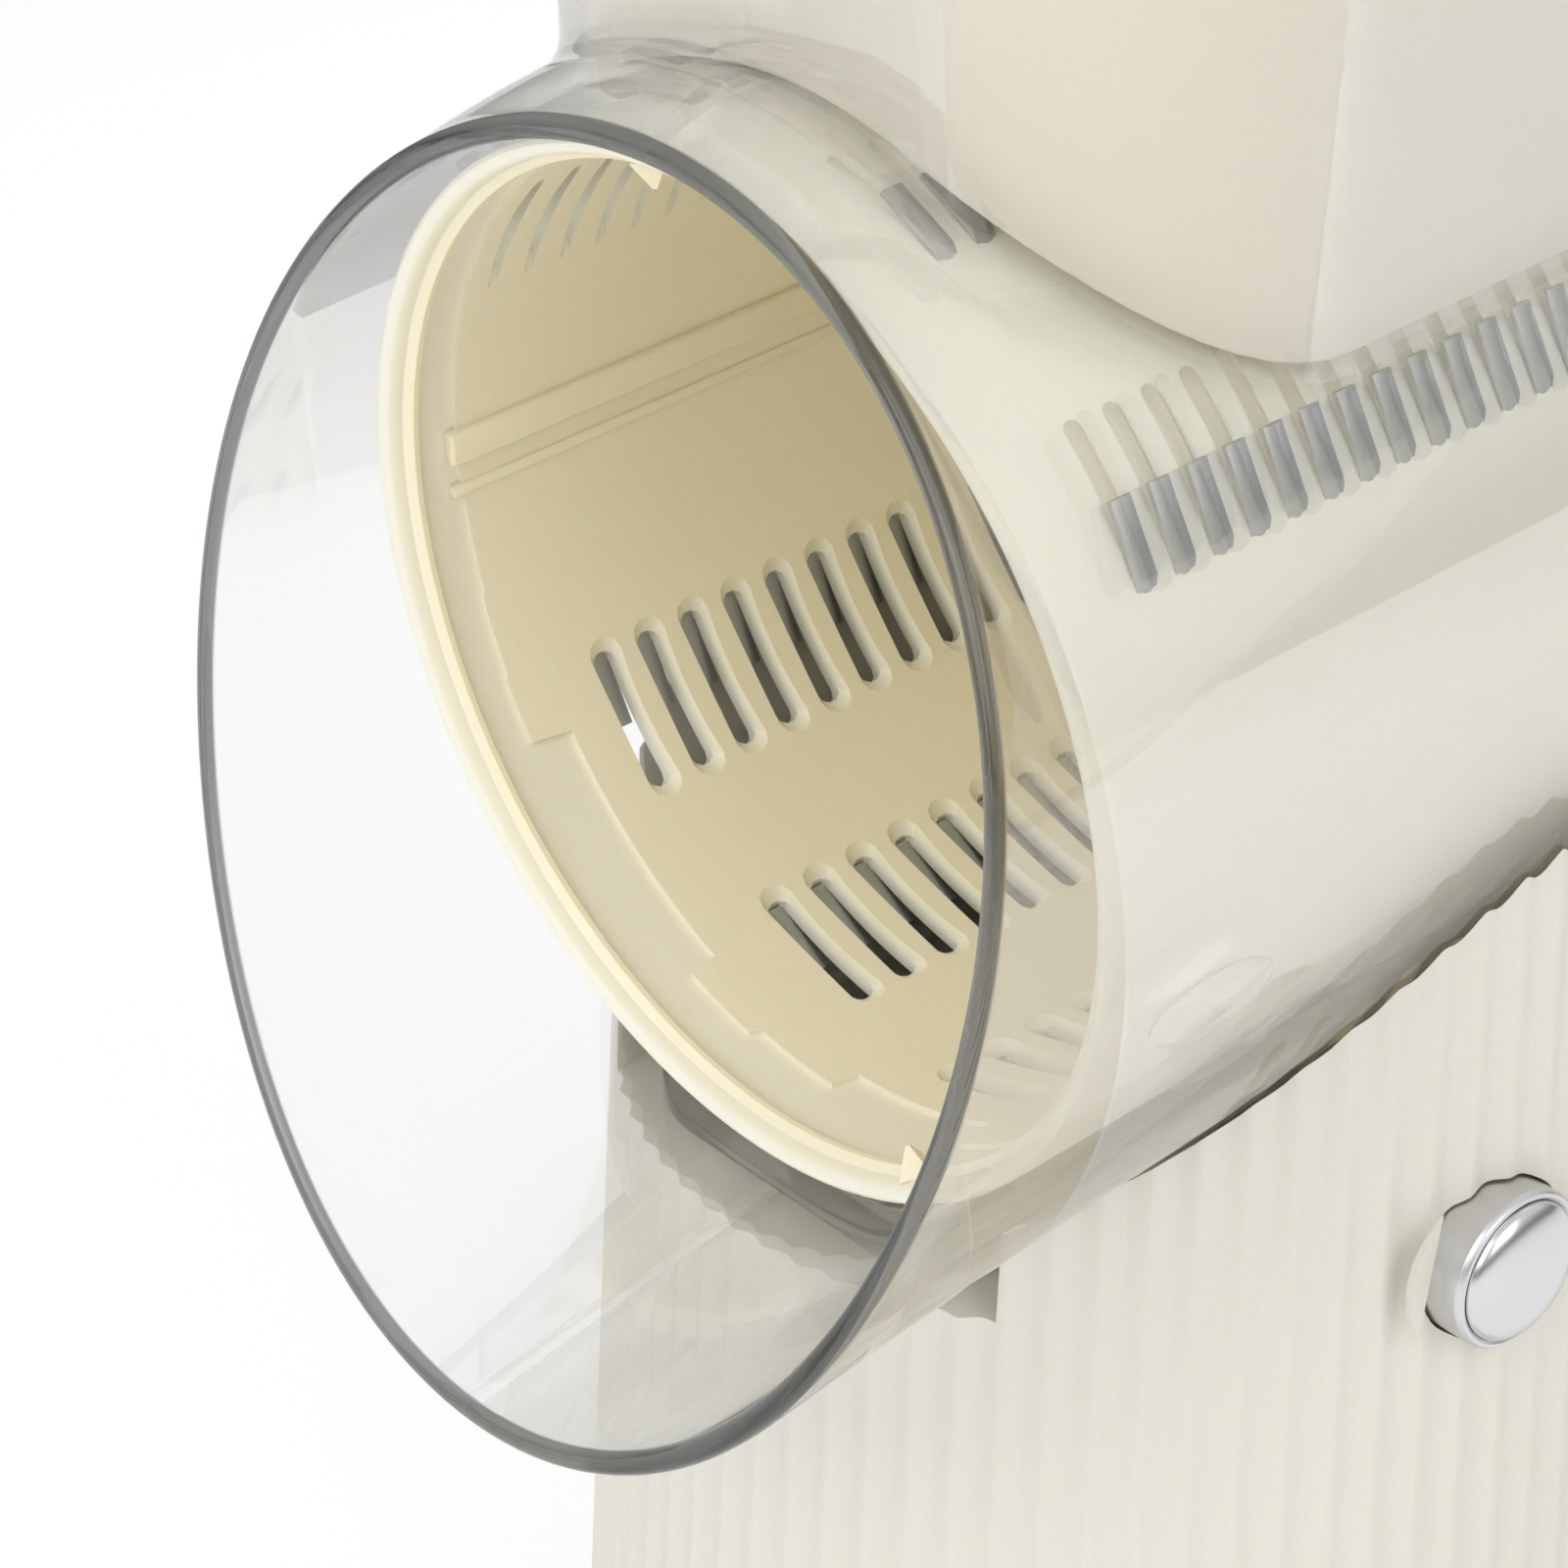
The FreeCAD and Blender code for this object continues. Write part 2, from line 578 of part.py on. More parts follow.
def ring_points(radius, along):
    """Points of a circle about the drum's axis, in the drum's frame."""
    turns = [2 * math.pi * step / RING_POINTS for step in range(RING_POINTS)]
    return [Vector(radius * math.sin(turn), along, radius * math.cos(turn)) for turn in turns]


def smooth_ring(points):
    """A closed smooth wire through the points."""
    curve = Part.BSplineCurve()
    curve.interpolate(points, PeriodicFlag=True)
    return Part.Wire(curve.toShape())


def tube_solid(radius, start, inset):
    """Tube and flared mouth as one solid, in the drum's frame."""
    overrun = Vector(0, -1.0, 0) if inset else Vector()
    front = [point + overrun for point in mouth_outline(inset)]
    rings = [ring_points(radius, start), ring_points(radius, dim("hood_root")), front]
    thing = loft([smooth_ring(points) for points in rings], "tube")
    thing.Placement = DRUM
    return thing


def chute_solid(inset, low, high):
    """The drafted chute between two heights above the rim centre, moved in by a wall."""
    wires = []
    for height in (low, high):
        spread = math.tan(math.radians(dim("chute_draft"))) * (height - dim("draft_level"))
        front = dim("chute_back") - spread + inset
        back = dim("chute_back") + dim("chute_depth") + spread - inset
        half = CHUTE_HALF + spread - inset
        wires.append(rounded_wire(half, front, back, dim("chute_corner") + spread - inset, height))
    thing = loft(wires, "chute")
    thing.Placement = Placement(RIM, Rotation())
    return thing


def rail_solid(inset, low_text):
    """The foot rail, or the trough inside it, in the drum's frame."""
    half = dim("rail_half") - inset
    wires = []
    for above in (-worth(low_text), -worth(f"{HOUSING_OUT} - 8")):
        wires.append(rounded_wire(half, dim("rail_front") + inset, worth(BACK_INSIDE) - inset,
                                  dim("rail_round") - inset, above))
    thing = loft(wires, "rail")
    thing.Placement = DRUM
    return thing


def make_housing():
    """Clear tube, flared mouth, chute and foot rail in one moulding."""
    wall = dim("housing_wall")
    outside = fuse(tube_solid(worth(HOUSING_OUT), worth(f"{BACK_INSIDE} + back_wall"), 0.0),
                   chute_solid(0.0, dim("chute_root"), dim("chute_top")),
                   rail_solid(0.0, RAIL_LOW))
    tools = [tube_solid(worth(HOUSING_IN), worth(BACK_INSIDE), wall),
             chute_solid(wall, 0.0, dim("chute_top") + 1.0),
             rail_solid(wall, f"{RAIL_LOW} - housing_wall")]
    tools.append(cylinder("hex_flats / 2 + 8", "back_wall + 2", on_axis(worth(BACK_INSIDE) - 1)))
    pocket_low = BUTTON_Z - 8
    tools.append(box(LATCH_ROOM, "8", str(TOOTH_TOP + POCKET_CLEAR - pocket_low),
                     upright(-LATCH_LOW, BUTTON_Y - 4, pocket_low)))
    node(carve(outside, *tools), "drum_housing")


# ---------------------------------------------------------------- drum

def rows():
    """Each row's turn above +X, its teeth's places behind the rim, and its tooth and slot widths."""
    found = []
    for number in range(int(dim("rows_per_half"))):
        turn = dim("row_start") + dim("row_step") * number
        close = [dim("close_first") + dim("close_pitch") * tooth
                 for tooth in range(int(dim("close_teeth")))]
        start = dim("wide_first") + dim("wide_stagger") * (number % 2)
        wide = [start + dim("wide_pitch") * tooth for tooth in range(int(dim("wide_teeth")))]
        found.append((turn, close, dim("tooth_width"), dim("slot_width")))
        found.append((turn + 180, wide, dim("wide_tooth"), dim("wide_slot")))
    return sorted(found)


def row_place(turn):
    """A row's own place: X runs round the drum from the row's root, Z outwards."""
    return DRUM * Placement(Vector(), Rotation(Y_AXIS, 90 - turn)) * Placement(
        Vector(), Rotation(Vector(0, 0, 1), 180))


def strip_shape(teeth, width):
    """One steel strip with a raised tooth at each of the given places, in a row's own place."""
    thick = dim("strip_thick")
    level = dim("drum_radius") - STRIP_SINK
    band = dim("strip_band")
    span = teeth[-1] - teeth[0] + width
    shape = Part.makeBox(band + 0.5, span, thick, Vector(-band, -teeth[-1] - width / 2, level))
    rise = level + dim("tooth_lift")
    corners = [(0.0, level), (1.3, rise), (dim("tooth_length") + 0.6, rise + 0.1)]
    lower = [Vector(x, 0, z) for x, z in corners]
    upper = [Vector(x, 0, z + thick) for x, z in reversed(corners)]
    face = Part.Face(Part.makePolygon(lower + upper + [lower[0]]))
    for tooth in teeth:
        solid = face.extrude(Vector(0, -width, 0))
        solid.translate(Vector(0, width / 2 - tooth, 0))
        shape = shape.fuse(solid)
    return shape.removeSplitter()


def make_drum():
    """Slotted drum, its hub insert and the steel strips."""
    length = dim("drum_length")
    outline = [("drum_radius - drum_wall", "0"), ("drum_radius - lip_round", "0"),
               ("drum_radius", "lip_round"), ("drum_radius", "drum_length - lip_round"),
               ("drum_radius - lip_round", "drum_length"),
               ("hex_flats / 2 + 6.5", "drum_length"), ("hex_flats / 2 + 6.5", "drum_length + 3.4"),
               ("hex_flats / 2 + 4", "drum_length + 3.4"),
               ("hex_flats / 2 + 4", "drum_length - 9"),
               ("hex_flats / 2 + 6.5", "drum_length - 9"),
               ("hex_flats / 2 + 6.5", "drum_length - drum_disc"),
               ("drum_radius - drum_wall", "drum_length - drum_disc")]
    blank = turned(outline, on_axis(0.0))
    pieces = []
    slots = []
    seats = []
    for turn, teeth, tooth_width, opening in rows():
        place = row_place(turn)
        blade = doc.addObject("Part::Feature", "blade")
        blade.Shape = strip_shape(teeth, tooth_width)
        blade.Placement = place
        pieces.append(blade)
        seats.append(blade.Shape.copy())
        for middle in teeth:
            slot = Part.makeBox(dim("slot_length"), opening, dim("drum_wall") + 4,
                                Vector(0.4, -middle - opening / 2,
                                       dim("drum_radius") - dim("drum_wall") - 2))
            slot.Placement = place.multiply(slot.Placement)
            slots.append(slot)
    cutter = doc.addObject("Part::Feature", "slot_cutters")
    cutter.Shape = Part.makeCompound(slots)
    strips = doc.addObject("Part::Feature", "strip_seats")
    strips.Shape = Part.makeCompound(seats)
    slotted = doc.addObject("Part::Cut", "slotted")
    slotted.Base = blank
    slotted.Tool = cutter
    frame = doc.addObject("Part::Cut", "frame")
    frame.Base = slotted
    frame.Tool = strips
    node(frame, "drum_frame")
    for number, blade in enumerate(pieces, start=1):
        node(blade, f"blade_row_{number}")
    insert = cut(cylinder("hex_flats / 2 + 4", "12.4", on_axis(length - 9)),
                 hexagon("hex_flats + 0.3", "12.4", length - 9))
    node(insert, "hub_insert")


def hexagon(flats, length, along):
    """A hexagonal prism on the drum's axis."""
    prism = doc.addObject("Part::Prism", "hexagon")
    prism.Polygon = 6
    prism.setExpression("Circumradius", formula(f"({flats}) / 2 / cos(30)"))
    prism.setExpression("Height", formula(length))
    prism.Placement = on_axis(along)
    return prism


# ---------------------------------------------------------------- drive and crank

def make_drive():
    """Rear cover, bushes, seal, shaft and clip."""
    head_front = worth(HEAD_FRONT)
    head_back = worth(HEAD_BACK)
    cover = turned([(f"{BUSH_OUT} + 0.02", "0"), (f"{HOUSING_OUT} - shell_wall - fit_gap", "0"),
                    (f"{HOUSING_OUT} - shell_wall - fit_gap", "cover_thick"),
                    (f"{BUSH_OUT} + 0.02", "cover_thick")],
                   on_axis(head_back - dim("cover_thick")))
    holes = [cylinder("1.6", "cover_thick + 2", on_axis(head_back - dim("cover_thick") - 1, *spot))
             for spot in head_spots()]
    node(cut(cover, *holes), "rear_cover")
    screws = []
    for spot in head_spots():
        screws.append(cylinder("2.8", "1.8", on_axis(head_back, *spot)))
        screws.append(cylinder("1.3", "cover_thick + 8", on_axis(head_back - 10.9, *spot)))
    node(fuse(*screws), "cover_screws")
    front = turned([(BUSH_BORE, "0"), (BUSH_OUT, "0"), (BUSH_OUT, "shell_wall"),
                    (f"{BUSH_OUT} + 3", "shell_wall"), (f"{BUSH_OUT} + 3", "shell_wall + 2"),
                    (BUSH_BORE, "shell_wall + 2")], on_axis(head_front))
    node(front, "front_bush")
    rear = turned([(BUSH_BORE, "0"), (f"{BUSH_OUT} + 3", "0"), (f"{BUSH_OUT} + 3", "2"),
                   (BUSH_OUT, "2"), (BUSH_OUT, "2 + cover_thick"), (BUSH_BORE, "2 + cover_thick")],
                  on_axis(head_back - dim("cover_thick") - 2))
    node(rear, "rear_bush")
    seal_at = head_front + dim("shell_wall") + 2.2
    seal = turned([("drive_radius + 0.1", "0"), ("drive_radius + 3", "0"),
                   ("drive_radius + 3", "2.4"), ("drive_radius + 0.1", "2.4")], on_axis(seal_at))
    node(seal, "shaft_seal")
    clip_at = seal_at + 4.0
    shaft_end = head_back + CRANK_GAP + dim("crank_thick")
    shaft = cylinder("drive_radius", str(shaft_end - head_front), on_axis(head_front))
    tip = hexagon("hex_flats", "hex_length + 1", head_front - dim("hex_length") - 0.5)
    tip_round = cylinder("drive_radius", "1", on_axis(head_front - 0.3))
    groove = cut(cylinder("drive_radius + 1", "1.4", on_axis(clip_at)),
                 cylinder("drive_radius - 1", "1.4", on_axis(clip_at)))
    tapped = cylinder("2", "14", on_axis(shaft_end - 14))
    trim = cut(cylinder("drive_radius + 4", "2", on_axis(head_front - 0.2)),
               cylinder("drive_radius", "2", on_axis(head_front - 0.2)))
    node(cut(fuse(shaft, tip, tip_round), groove, tapped, trim), "drive_shaft")
    clip = cut(cylinder("drive_radius + 3", "1.2", on_axis(clip_at + 0.1)),
               cylinder("drive_radius - 1", "1.2", on_axis(clip_at + 0.1)),
               box("3.2", "1.4", "12", DRUM * upright(-1.6, clip_at, 0)))
    node(clip, "retaining_clip")


def make_crank():
    """Crank arm, its screw and cap, and the turning knob on its spindle."""
    face = worth(HEAD_BACK) + CRANK_GAP
    throw = dim("crank_throw")
    thick = dim("crank_thick")
    hub_deep = "crank_thick + 4"
    hub = cylinder("crank_hub", hub_deep, on_axis(face))
    tip = cylinder("crank_tip", "crank_thick", on_axis(face, 0, -throw))
    web = doc.addObject("Part::Feature", "web")
    lean = (dim("crank_hub") - dim("crank_tip")) / throw
    level = math.sqrt(1 - lean * lean)
    corners = []
    for side in (1, -1):
        near = Vector(side * dim("crank_hub") * level, 0, -dim("crank_hub") * lean)
        far = Vector(side * dim("crank_tip") * level, 0, -throw - dim("crank_tip") * lean)
        corners += [near, far] if side > 0 else [far, near]
    outline = Part.Face(Part.makePolygon(corners + [corners[0]]))
    web.Shape = outline.extrude(Vector(0, thick, 0))
    web.Placement = DRUM * upright(0, face, 0)
    bore = cylinder("drive_radius", "crank_thick", on_axis(face))
    pass_hole = cylinder("2.2", "20", on_axis(face))
    recess = cylinder("crank_hub - 3.5", "3", on_axis(face + thick + 1.5))
    spindle_hole = cylinder("spindle_radius", "crank_thick", on_axis(face, 0, -throw))
    node(cut(fuse(hub, tip, web), bore, pass_hole, recess, spindle_hole), "crank_arm")
    screw = fuse(cylinder("4", "1.1", on_axis(face + thick + 1.5)),
                 cylinder("2", "11.5", on_axis(face + thick - 9)))
    node(screw, "crank_screw")
    cap_at = face + thick + 2.8
    cap = turned([("0", "0"), ("crank_hub - 3.6", "0"), ("crank_hub - 3.6", "1.4"),
                  ("crank_hub - 7", "2.6"), ("0", "3")], on_axis(cap_at))
    node(cap, "crank_cap")
    knob_at = face + thick + 0.5
    spindle = turned([("0", "-2.2"), ("spindle_radius + 2", "-2.2"), ("spindle_radius + 2", "-0.1"),
                      ("spindle_radius", "-0.1"), ("spindle_radius", "crank_thick + knob_length - 6"),
                      ("0", "crank_thick + knob_length - 6")], on_axis(face, 0, -throw))
    node(spindle, "knob_spindle")
    knob_bore = "spindle_radius + running_fit"
    knob = turned([(knob_bore, "0"), ("knob_radius - 3", "0"), ("knob_radius - 1.2", "1.2"),
                   ("knob_radius - 2", "knob_length * 0.3"), ("knob_radius", "knob_length * 0.75"),
                   ("knob_radius - 0.8", "knob_length - 2.4"),
                   ("knob_radius - 3", "knob_length - 2.4"),
                   ("knob_radius - 3", "knob_length - 6"), (knob_bore, "knob_length - 6")],
                  on_axis(knob_at, 0, -throw))
    node(knob, "crank_knob")
    lid = turned([("0", "-2.4"), ("knob_radius - 3", "-2.4"), ("knob_radius - 3", "0"),
                  ("knob_radius - 0.8", "0"), ("knob_radius - 2", "1.6"), ("0", "2.4")],
                 on_axis(knob_at + dim("knob_length") - 2.4, 0, -throw))
    node(lid, "knob_cap")


# ---------------------------------------------------------------- pusher

GRIP_INSET = 16.0


def make_pusher():
    """Hollow pusher that fills the chute, with the cap that closes it."""
    gap = dim("housing_wall") + dim("pusher_gap")
    top = dim("chute_top") + dim("seat_gap")
    outside = chute_solid(gap, dim("chute_root") + 2, top)
    wall = dim("pusher_wall")
    inside = chute_solid(gap + wall, dim("chute_root"), top + 1)
    under = cylinder("drum_radius + pusher_clear", "200", on_axis(-60))
    over = cylinder("drum_radius + pusher_clear + pusher_wall", "200", on_axis(-60))
    hollow = cut(inside, over)
    node(cut(outside, under, hollow), "food_pusher")
    lip = chute_solid(-1.5, top, top + dim("cap_height"))
    plug_room = chute_solid(gap + wall + dim("fit_gap"), top - 4, top)
    crown = top + dim("cap_height") + dim("grip_height")
    grip = chute_solid(GRIP_INSET, top + dim("cap_height"), crown)
    room = chute_solid(GRIP_INSET + wall, top - 5, crown - wall)
    plug_hollow = chute_solid(gap + 2 * wall + dim("fit_gap"), top - 5, top)
    node(cut(fuse(lip, plug_room, grip), room, plug_hollow), "pusher_cap")


# ---------------------------------------------------------------- build, check, write

make_pedestal()
make_base()
make_suction()
make_latch()
make_housing()
make_drum()
make_drive()
make_crank()
make_pusher()
doc.recompute()

for thing in doc.Objects:
    bad = {"Invalid", "Error"} & set(thing.State)
    if bad:
        raise RuntimeError(f"{thing.Name} ({thing.Label}) failed: {thing.State}")
os.makedirs("parts", exist_ok=True)
for thing in NODES:
    shape = thing.Shape
    if shape.isNull() or not shape.isValid() or not shape.Solids:
        raise RuntimeError(f"{thing.Label} has no valid solid")
for thing in NODES:
    thing.Shape.exportStep(f"parts/{thing.Label}.step")
    print(f"{thing.Label:18s} solids {len(thing.Shape.Solids):2d} volume {thing.Shape.Volume:10.1f}")
print(len(NODES), "nodes")
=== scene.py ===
"""Looks of a hand-cranked drum grater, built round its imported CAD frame.

The clear housing, the drum, the fluted column and the other mouldings are made here in metres,
in the frame of the CAD: +Z is up, the drum's mouth faces -Y and the crank is at +Y.
"""

import json
import logging
import math
from dataclasses import dataclass, field
from enum import Enum
from typing import Iterable, Sequence

import bmesh
import bpy
from mathutils import Matrix, Vector

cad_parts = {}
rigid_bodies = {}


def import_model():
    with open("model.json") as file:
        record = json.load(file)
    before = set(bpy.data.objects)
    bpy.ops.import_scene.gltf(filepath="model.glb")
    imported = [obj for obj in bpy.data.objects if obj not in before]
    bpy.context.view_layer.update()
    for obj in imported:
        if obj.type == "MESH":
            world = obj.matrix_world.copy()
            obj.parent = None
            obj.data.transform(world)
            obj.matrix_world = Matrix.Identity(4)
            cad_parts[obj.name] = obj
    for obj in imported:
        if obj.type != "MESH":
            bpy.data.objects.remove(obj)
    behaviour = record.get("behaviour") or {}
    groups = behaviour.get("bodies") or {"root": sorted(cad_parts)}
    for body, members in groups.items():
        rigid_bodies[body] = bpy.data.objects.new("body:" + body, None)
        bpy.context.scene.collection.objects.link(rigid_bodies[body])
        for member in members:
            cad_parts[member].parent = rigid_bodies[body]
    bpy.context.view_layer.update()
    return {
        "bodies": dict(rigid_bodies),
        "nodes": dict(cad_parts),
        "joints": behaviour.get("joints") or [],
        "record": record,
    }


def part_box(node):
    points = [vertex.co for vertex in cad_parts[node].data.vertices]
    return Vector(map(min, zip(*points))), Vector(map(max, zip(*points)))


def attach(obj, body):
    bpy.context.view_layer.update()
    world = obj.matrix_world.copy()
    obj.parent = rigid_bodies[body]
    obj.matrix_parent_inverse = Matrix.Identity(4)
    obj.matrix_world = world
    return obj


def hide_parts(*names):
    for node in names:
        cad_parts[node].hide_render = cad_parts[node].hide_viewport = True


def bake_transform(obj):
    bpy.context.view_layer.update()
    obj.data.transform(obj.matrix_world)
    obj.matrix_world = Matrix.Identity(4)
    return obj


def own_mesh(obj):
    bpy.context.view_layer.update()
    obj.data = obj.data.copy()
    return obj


LOG = logging.getLogger("grater")
MM = 0.001
Outline = Sequence[tuple[float, float]]
Colour = tuple[float, float, float]
GLOW_RADIUS = (1.0, 0.75, 0.45)
SKIN_GRAIN = 2600.0
DRIFT_GRAIN = 28.0


class Cut(Enum):
    """How one solid changes another."""

    JOIN = "UNION"
    REMOVE = "DIFFERENCE"


# ---------------------------------------------------------------- mesh helpers


def deselect() -> None:
    """Leaves nothing selected."""
    for thing in list(bpy.context.selected_objects):
        thing.select_set(False)


def make_active(piece: bpy.types.Object) -> None:
    """Selects one piece alone and makes it active.

    Args:
        piece: the object to work on.
    """
    deselect()
    piece.select_set(True)
    bpy.context.view_layer.objects.active = piece


def from_points(name: str, points: Iterable[Vector], faces: Iterable[Sequence[int]]) -> bpy.types.Object:
    """A mesh object from points in metres and faces.

    Args:
        name: the object's name.
        points: the corners.
        faces: indices of each face's corners.

    Returns:
        The linked object, with its faces turned outwards.
    """
    mesh = bpy.data.meshes.new(name)
    mesh.from_pydata([tuple(point) for point in points], [], [tuple(face) for face in faces])
    piece = bpy.data.objects.new(name, mesh)
    bpy.context.scene.collection.objects.link(piece)
    face_outwards(piece)
    return piece


def named(piece: bpy.types.Object, name: str) -> bpy.types.Object:
    """Names a piece and its mesh."""
    piece.name = name
    piece.data.name = name
    return piece


def face_outwards(piece: bpy.types.Object) -> None:
    """Merges doubles and turns the faces of closed shells outwards.

    Args:
        piece: a piece whose shells are closed and don't lie in each other.
    """
    work = bmesh.new()
    work.from_mesh(piece.data)
    bmesh.ops.remove_doubles(work, verts=work.verts, dist=1e-6)
    bmesh.ops.recalc_face_normals(work, faces=work.faces)
    work.to_mesh(piece.data)
    work.free()


def finish_with(piece: bpy.types.Object, kind: str, **settings: object) -> bpy.types.Object:
    """Adds one modifier and applies it.

    Args:
        piece: the object to change.
        kind: the modifier's type.
        settings: the modifier's values.

    Returns:
        The same object.
    """
    make_active(piece)
    modifier = piece.modifiers.new(kind.lower(), kind)
    for key, value in settings.items():
        setattr(modifier, key, value)
    bpy.ops.object.modifier_apply(modifier=modifier.name)
    return piece


def combine(piece: bpy.types.Object, tool: bpy.types.Object, way: Cut) -> bpy.types.Object:
    """Joins or removes a tool, which is then deleted.

    Args:
        piece: the object that stays.
        tool: the object that is used up.
        way: whether the tool is joined or removed.

    Returns:
        The changed piece.
    """
    finish_with(piece, "BOOLEAN", object=tool, operation=way.value, solver="EXACT")
    bpy.data.objects.remove(tool)
    return piece


def smooth(piece: bpy.types.Object, degrees: float) -> bpy.types.Object:
    """Smooth shading up to an angle between faces.

    Args:
        piece: the object to shade.
        degrees: the sharpest angle that is still shaded smooth.

    Returns:
        The same object.
    """
    make_active(piece)
    bpy.ops.object.shade_smooth_by_angle(angle=math.radians(degrees))
    return piece


def grid_solid(name: str, rings: Sequence[Sequence[Vector]], wrap: bool = False) -> bpy.types.Object:
    """A closed solid through rings of equal count.

    Args:
        name: the object's name.
        rings: the rings' points, one ring after another.
        wrap: whether the last ring joins the first, and otherwise both ends are capped.

    Returns:
        The solid.
    """
    count = len(rings[0])
    points = [point for ring in rings for point in ring]
    faces = []
    for row in range(len(rings) if wrap else len(rings) - 1):
        after = (row + 1) % len(rings)
        for step in range(count):
            side = (step + 1) % count
            faces.append((row * count + step, row * count + side, after * count + side, after * count + step))
    if not wrap:
        faces.append(tuple(range(count)))
        faces.append(tuple(range((len(rings) - 1) * count, len(rings) * count)))
    return from_points(name, points, faces)


def joined(name: str, parts: Sequence[bpy.types.Object]) -> bpy.types.Object:
    """One object from several.

    Args:
        name: the object's name.
        parts: the objects that become one.

    Returns:
        The joined object.
    """
    deselect()
    for part in parts:
        part.select_set(True)
    bpy.context.view_layer.objects.active = parts[0]
    bpy.ops.object.join()
    return named(parts[0], name)


def turned(name: str, outline: Outline, place: Matrix, sides: int = 96,
           closed: bool = False) -> bpy.types.Object:
    """A turned piece whose axis is the place's Z.

    Args:
        name: the object's name.
        outline: radius and height in millimetres, from one end to the other.
        place: where the turned piece goes.
        sides: how many faces go round it.
        closed: whether the outline comes back to its first point, as in a ring.

    Returns:
        The piece, with its place in its mesh.
    """
    deselect()
    radius, height = outline[0]
    bpy.ops.mesh.primitive_circle_add(vertices=sides, radius=radius * MM, location=(0, 0, height * MM))
    piece = bpy.context.object
    bpy.ops.object.transform_apply(location=True)
    bpy.ops.object.mode_set(mode="EDIT")
    bpy.ops.mesh.select_all(action="SELECT")
    if not closed:
        bpy.ops.mesh.edge_face_add()
        bpy.ops.mesh.select_all(action="SELECT")
    steps = list(outline[1:]) + ([outline[0]] if closed else [])
    for wide, up in steps:
        move = {"value": (0, 0, (up - height) * MM)}
        if closed or (wide, up) != steps[0]:
            bpy.ops.mesh.extrude_edges_move(TRANSFORM_OT_translate=move)
        else:
            bpy.ops.mesh.extrude_region_move(TRANSFORM_OT_translate=move)
            bpy.ops.mesh.region_to_loop()
        share = wide / radius
        bpy.ops.transform.resize(value=(share, share, 1), center_override=(0, 0, up * MM))
        radius, height = wide, up
    if not closed:
        bpy.ops.mesh.edge_face_add()
    bpy.ops.mesh.select_all(action="SELECT")
    bpy.ops.mesh.remove_doubles(threshold=1e-6)
    bpy.ops.mesh.normals_make_consistent(inside=False)
    bpy.ops.object.mode_set(mode="OBJECT")
    piece.data.transform(place)
    return named(piece, name)


def block(name: str, size: tuple[float, float, float], middle: tuple[float, float, float], place: Matrix,
          edge: float = 0.0) -> bpy.types.Object:
    """A box with rounded edges.

    Args:
        name: the object's name.
        size: its sides in millimetres.
        middle: its middle in millimetres, in the place's own frame.
        place: the frame that it stands in.
        edge: the rounding of its edges in millimetres.

    Returns:
        The box, with its place in its mesh.
    """
    deselect()
    bpy.ops.mesh.primitive_cube_add(size=1, location=[value * MM for value in middle])
    piece = bpy.context.object
    piece.scale = [value * MM for value in size]
    bpy.ops.object.transform_apply(location=True, scale=True)
    if edge:
        bpy.ops.object.mode_set(mode="EDIT")
        bpy.ops.mesh.select_all(action="SELECT")
        bpy.ops.mesh.bevel(offset=edge * MM, segments=3)
        bpy.ops.object.mode_set(mode="OBJECT")
    piece.data.transform(place)
    return named(piece, name)


def moulding(name: str, node: str) -> bpy.types.Object:
    """A merged copy of a CAD node's mesh with its flat faces made whole.

    Args:
        name: the new object's name.
        node: the CAD node.

    Returns:
        The copy.
    """
    source = bpy.data.objects[node]
    piece = bpy.data.objects.new(name, source.data.copy())
    piece.data.name = name
    bpy.context.scene.collection.objects.link(piece)
    piece.data.materials.clear()
    work = bmesh.new()
    work.from_mesh(piece.data)
    bmesh.ops.remove_doubles(work, verts=work.verts, dist=2e-6)
    bmesh.ops.dissolve_limit(work, angle_limit=math.radians(0.6), verts=work.verts, edges=work.edges)
    work.to_mesh(piece.data)
    work.free()
    if piece.data.has_custom_normals:
        make_active(piece)
        bpy.ops.mesh.customdata_custom_splitnormals_clear()
    return piece


def softened(name: str, node: str, edge: float, degrees: float = 40.0) -> bpy.types.Object:
    """A copy of a CAD node with its sharp edges rounded.

    Args:
        name: the new object's name.
        node: the CAD node.
        edge: the rounding in millimetres.
        degrees: the least angle between faces that is rounded.

    Returns:
        The rounded copy.
    """
    piece = moulding(name, node)
    finish_with(piece, "BEVEL", width=edge * MM, segments=3, limit_method="ANGLE",
                angle_limit=math.radians(degrees), harden_normals=False, use_clamp_overlap=True)
    return smooth(piece, 35)


# ---------------------------------------------------------------- shader helpers


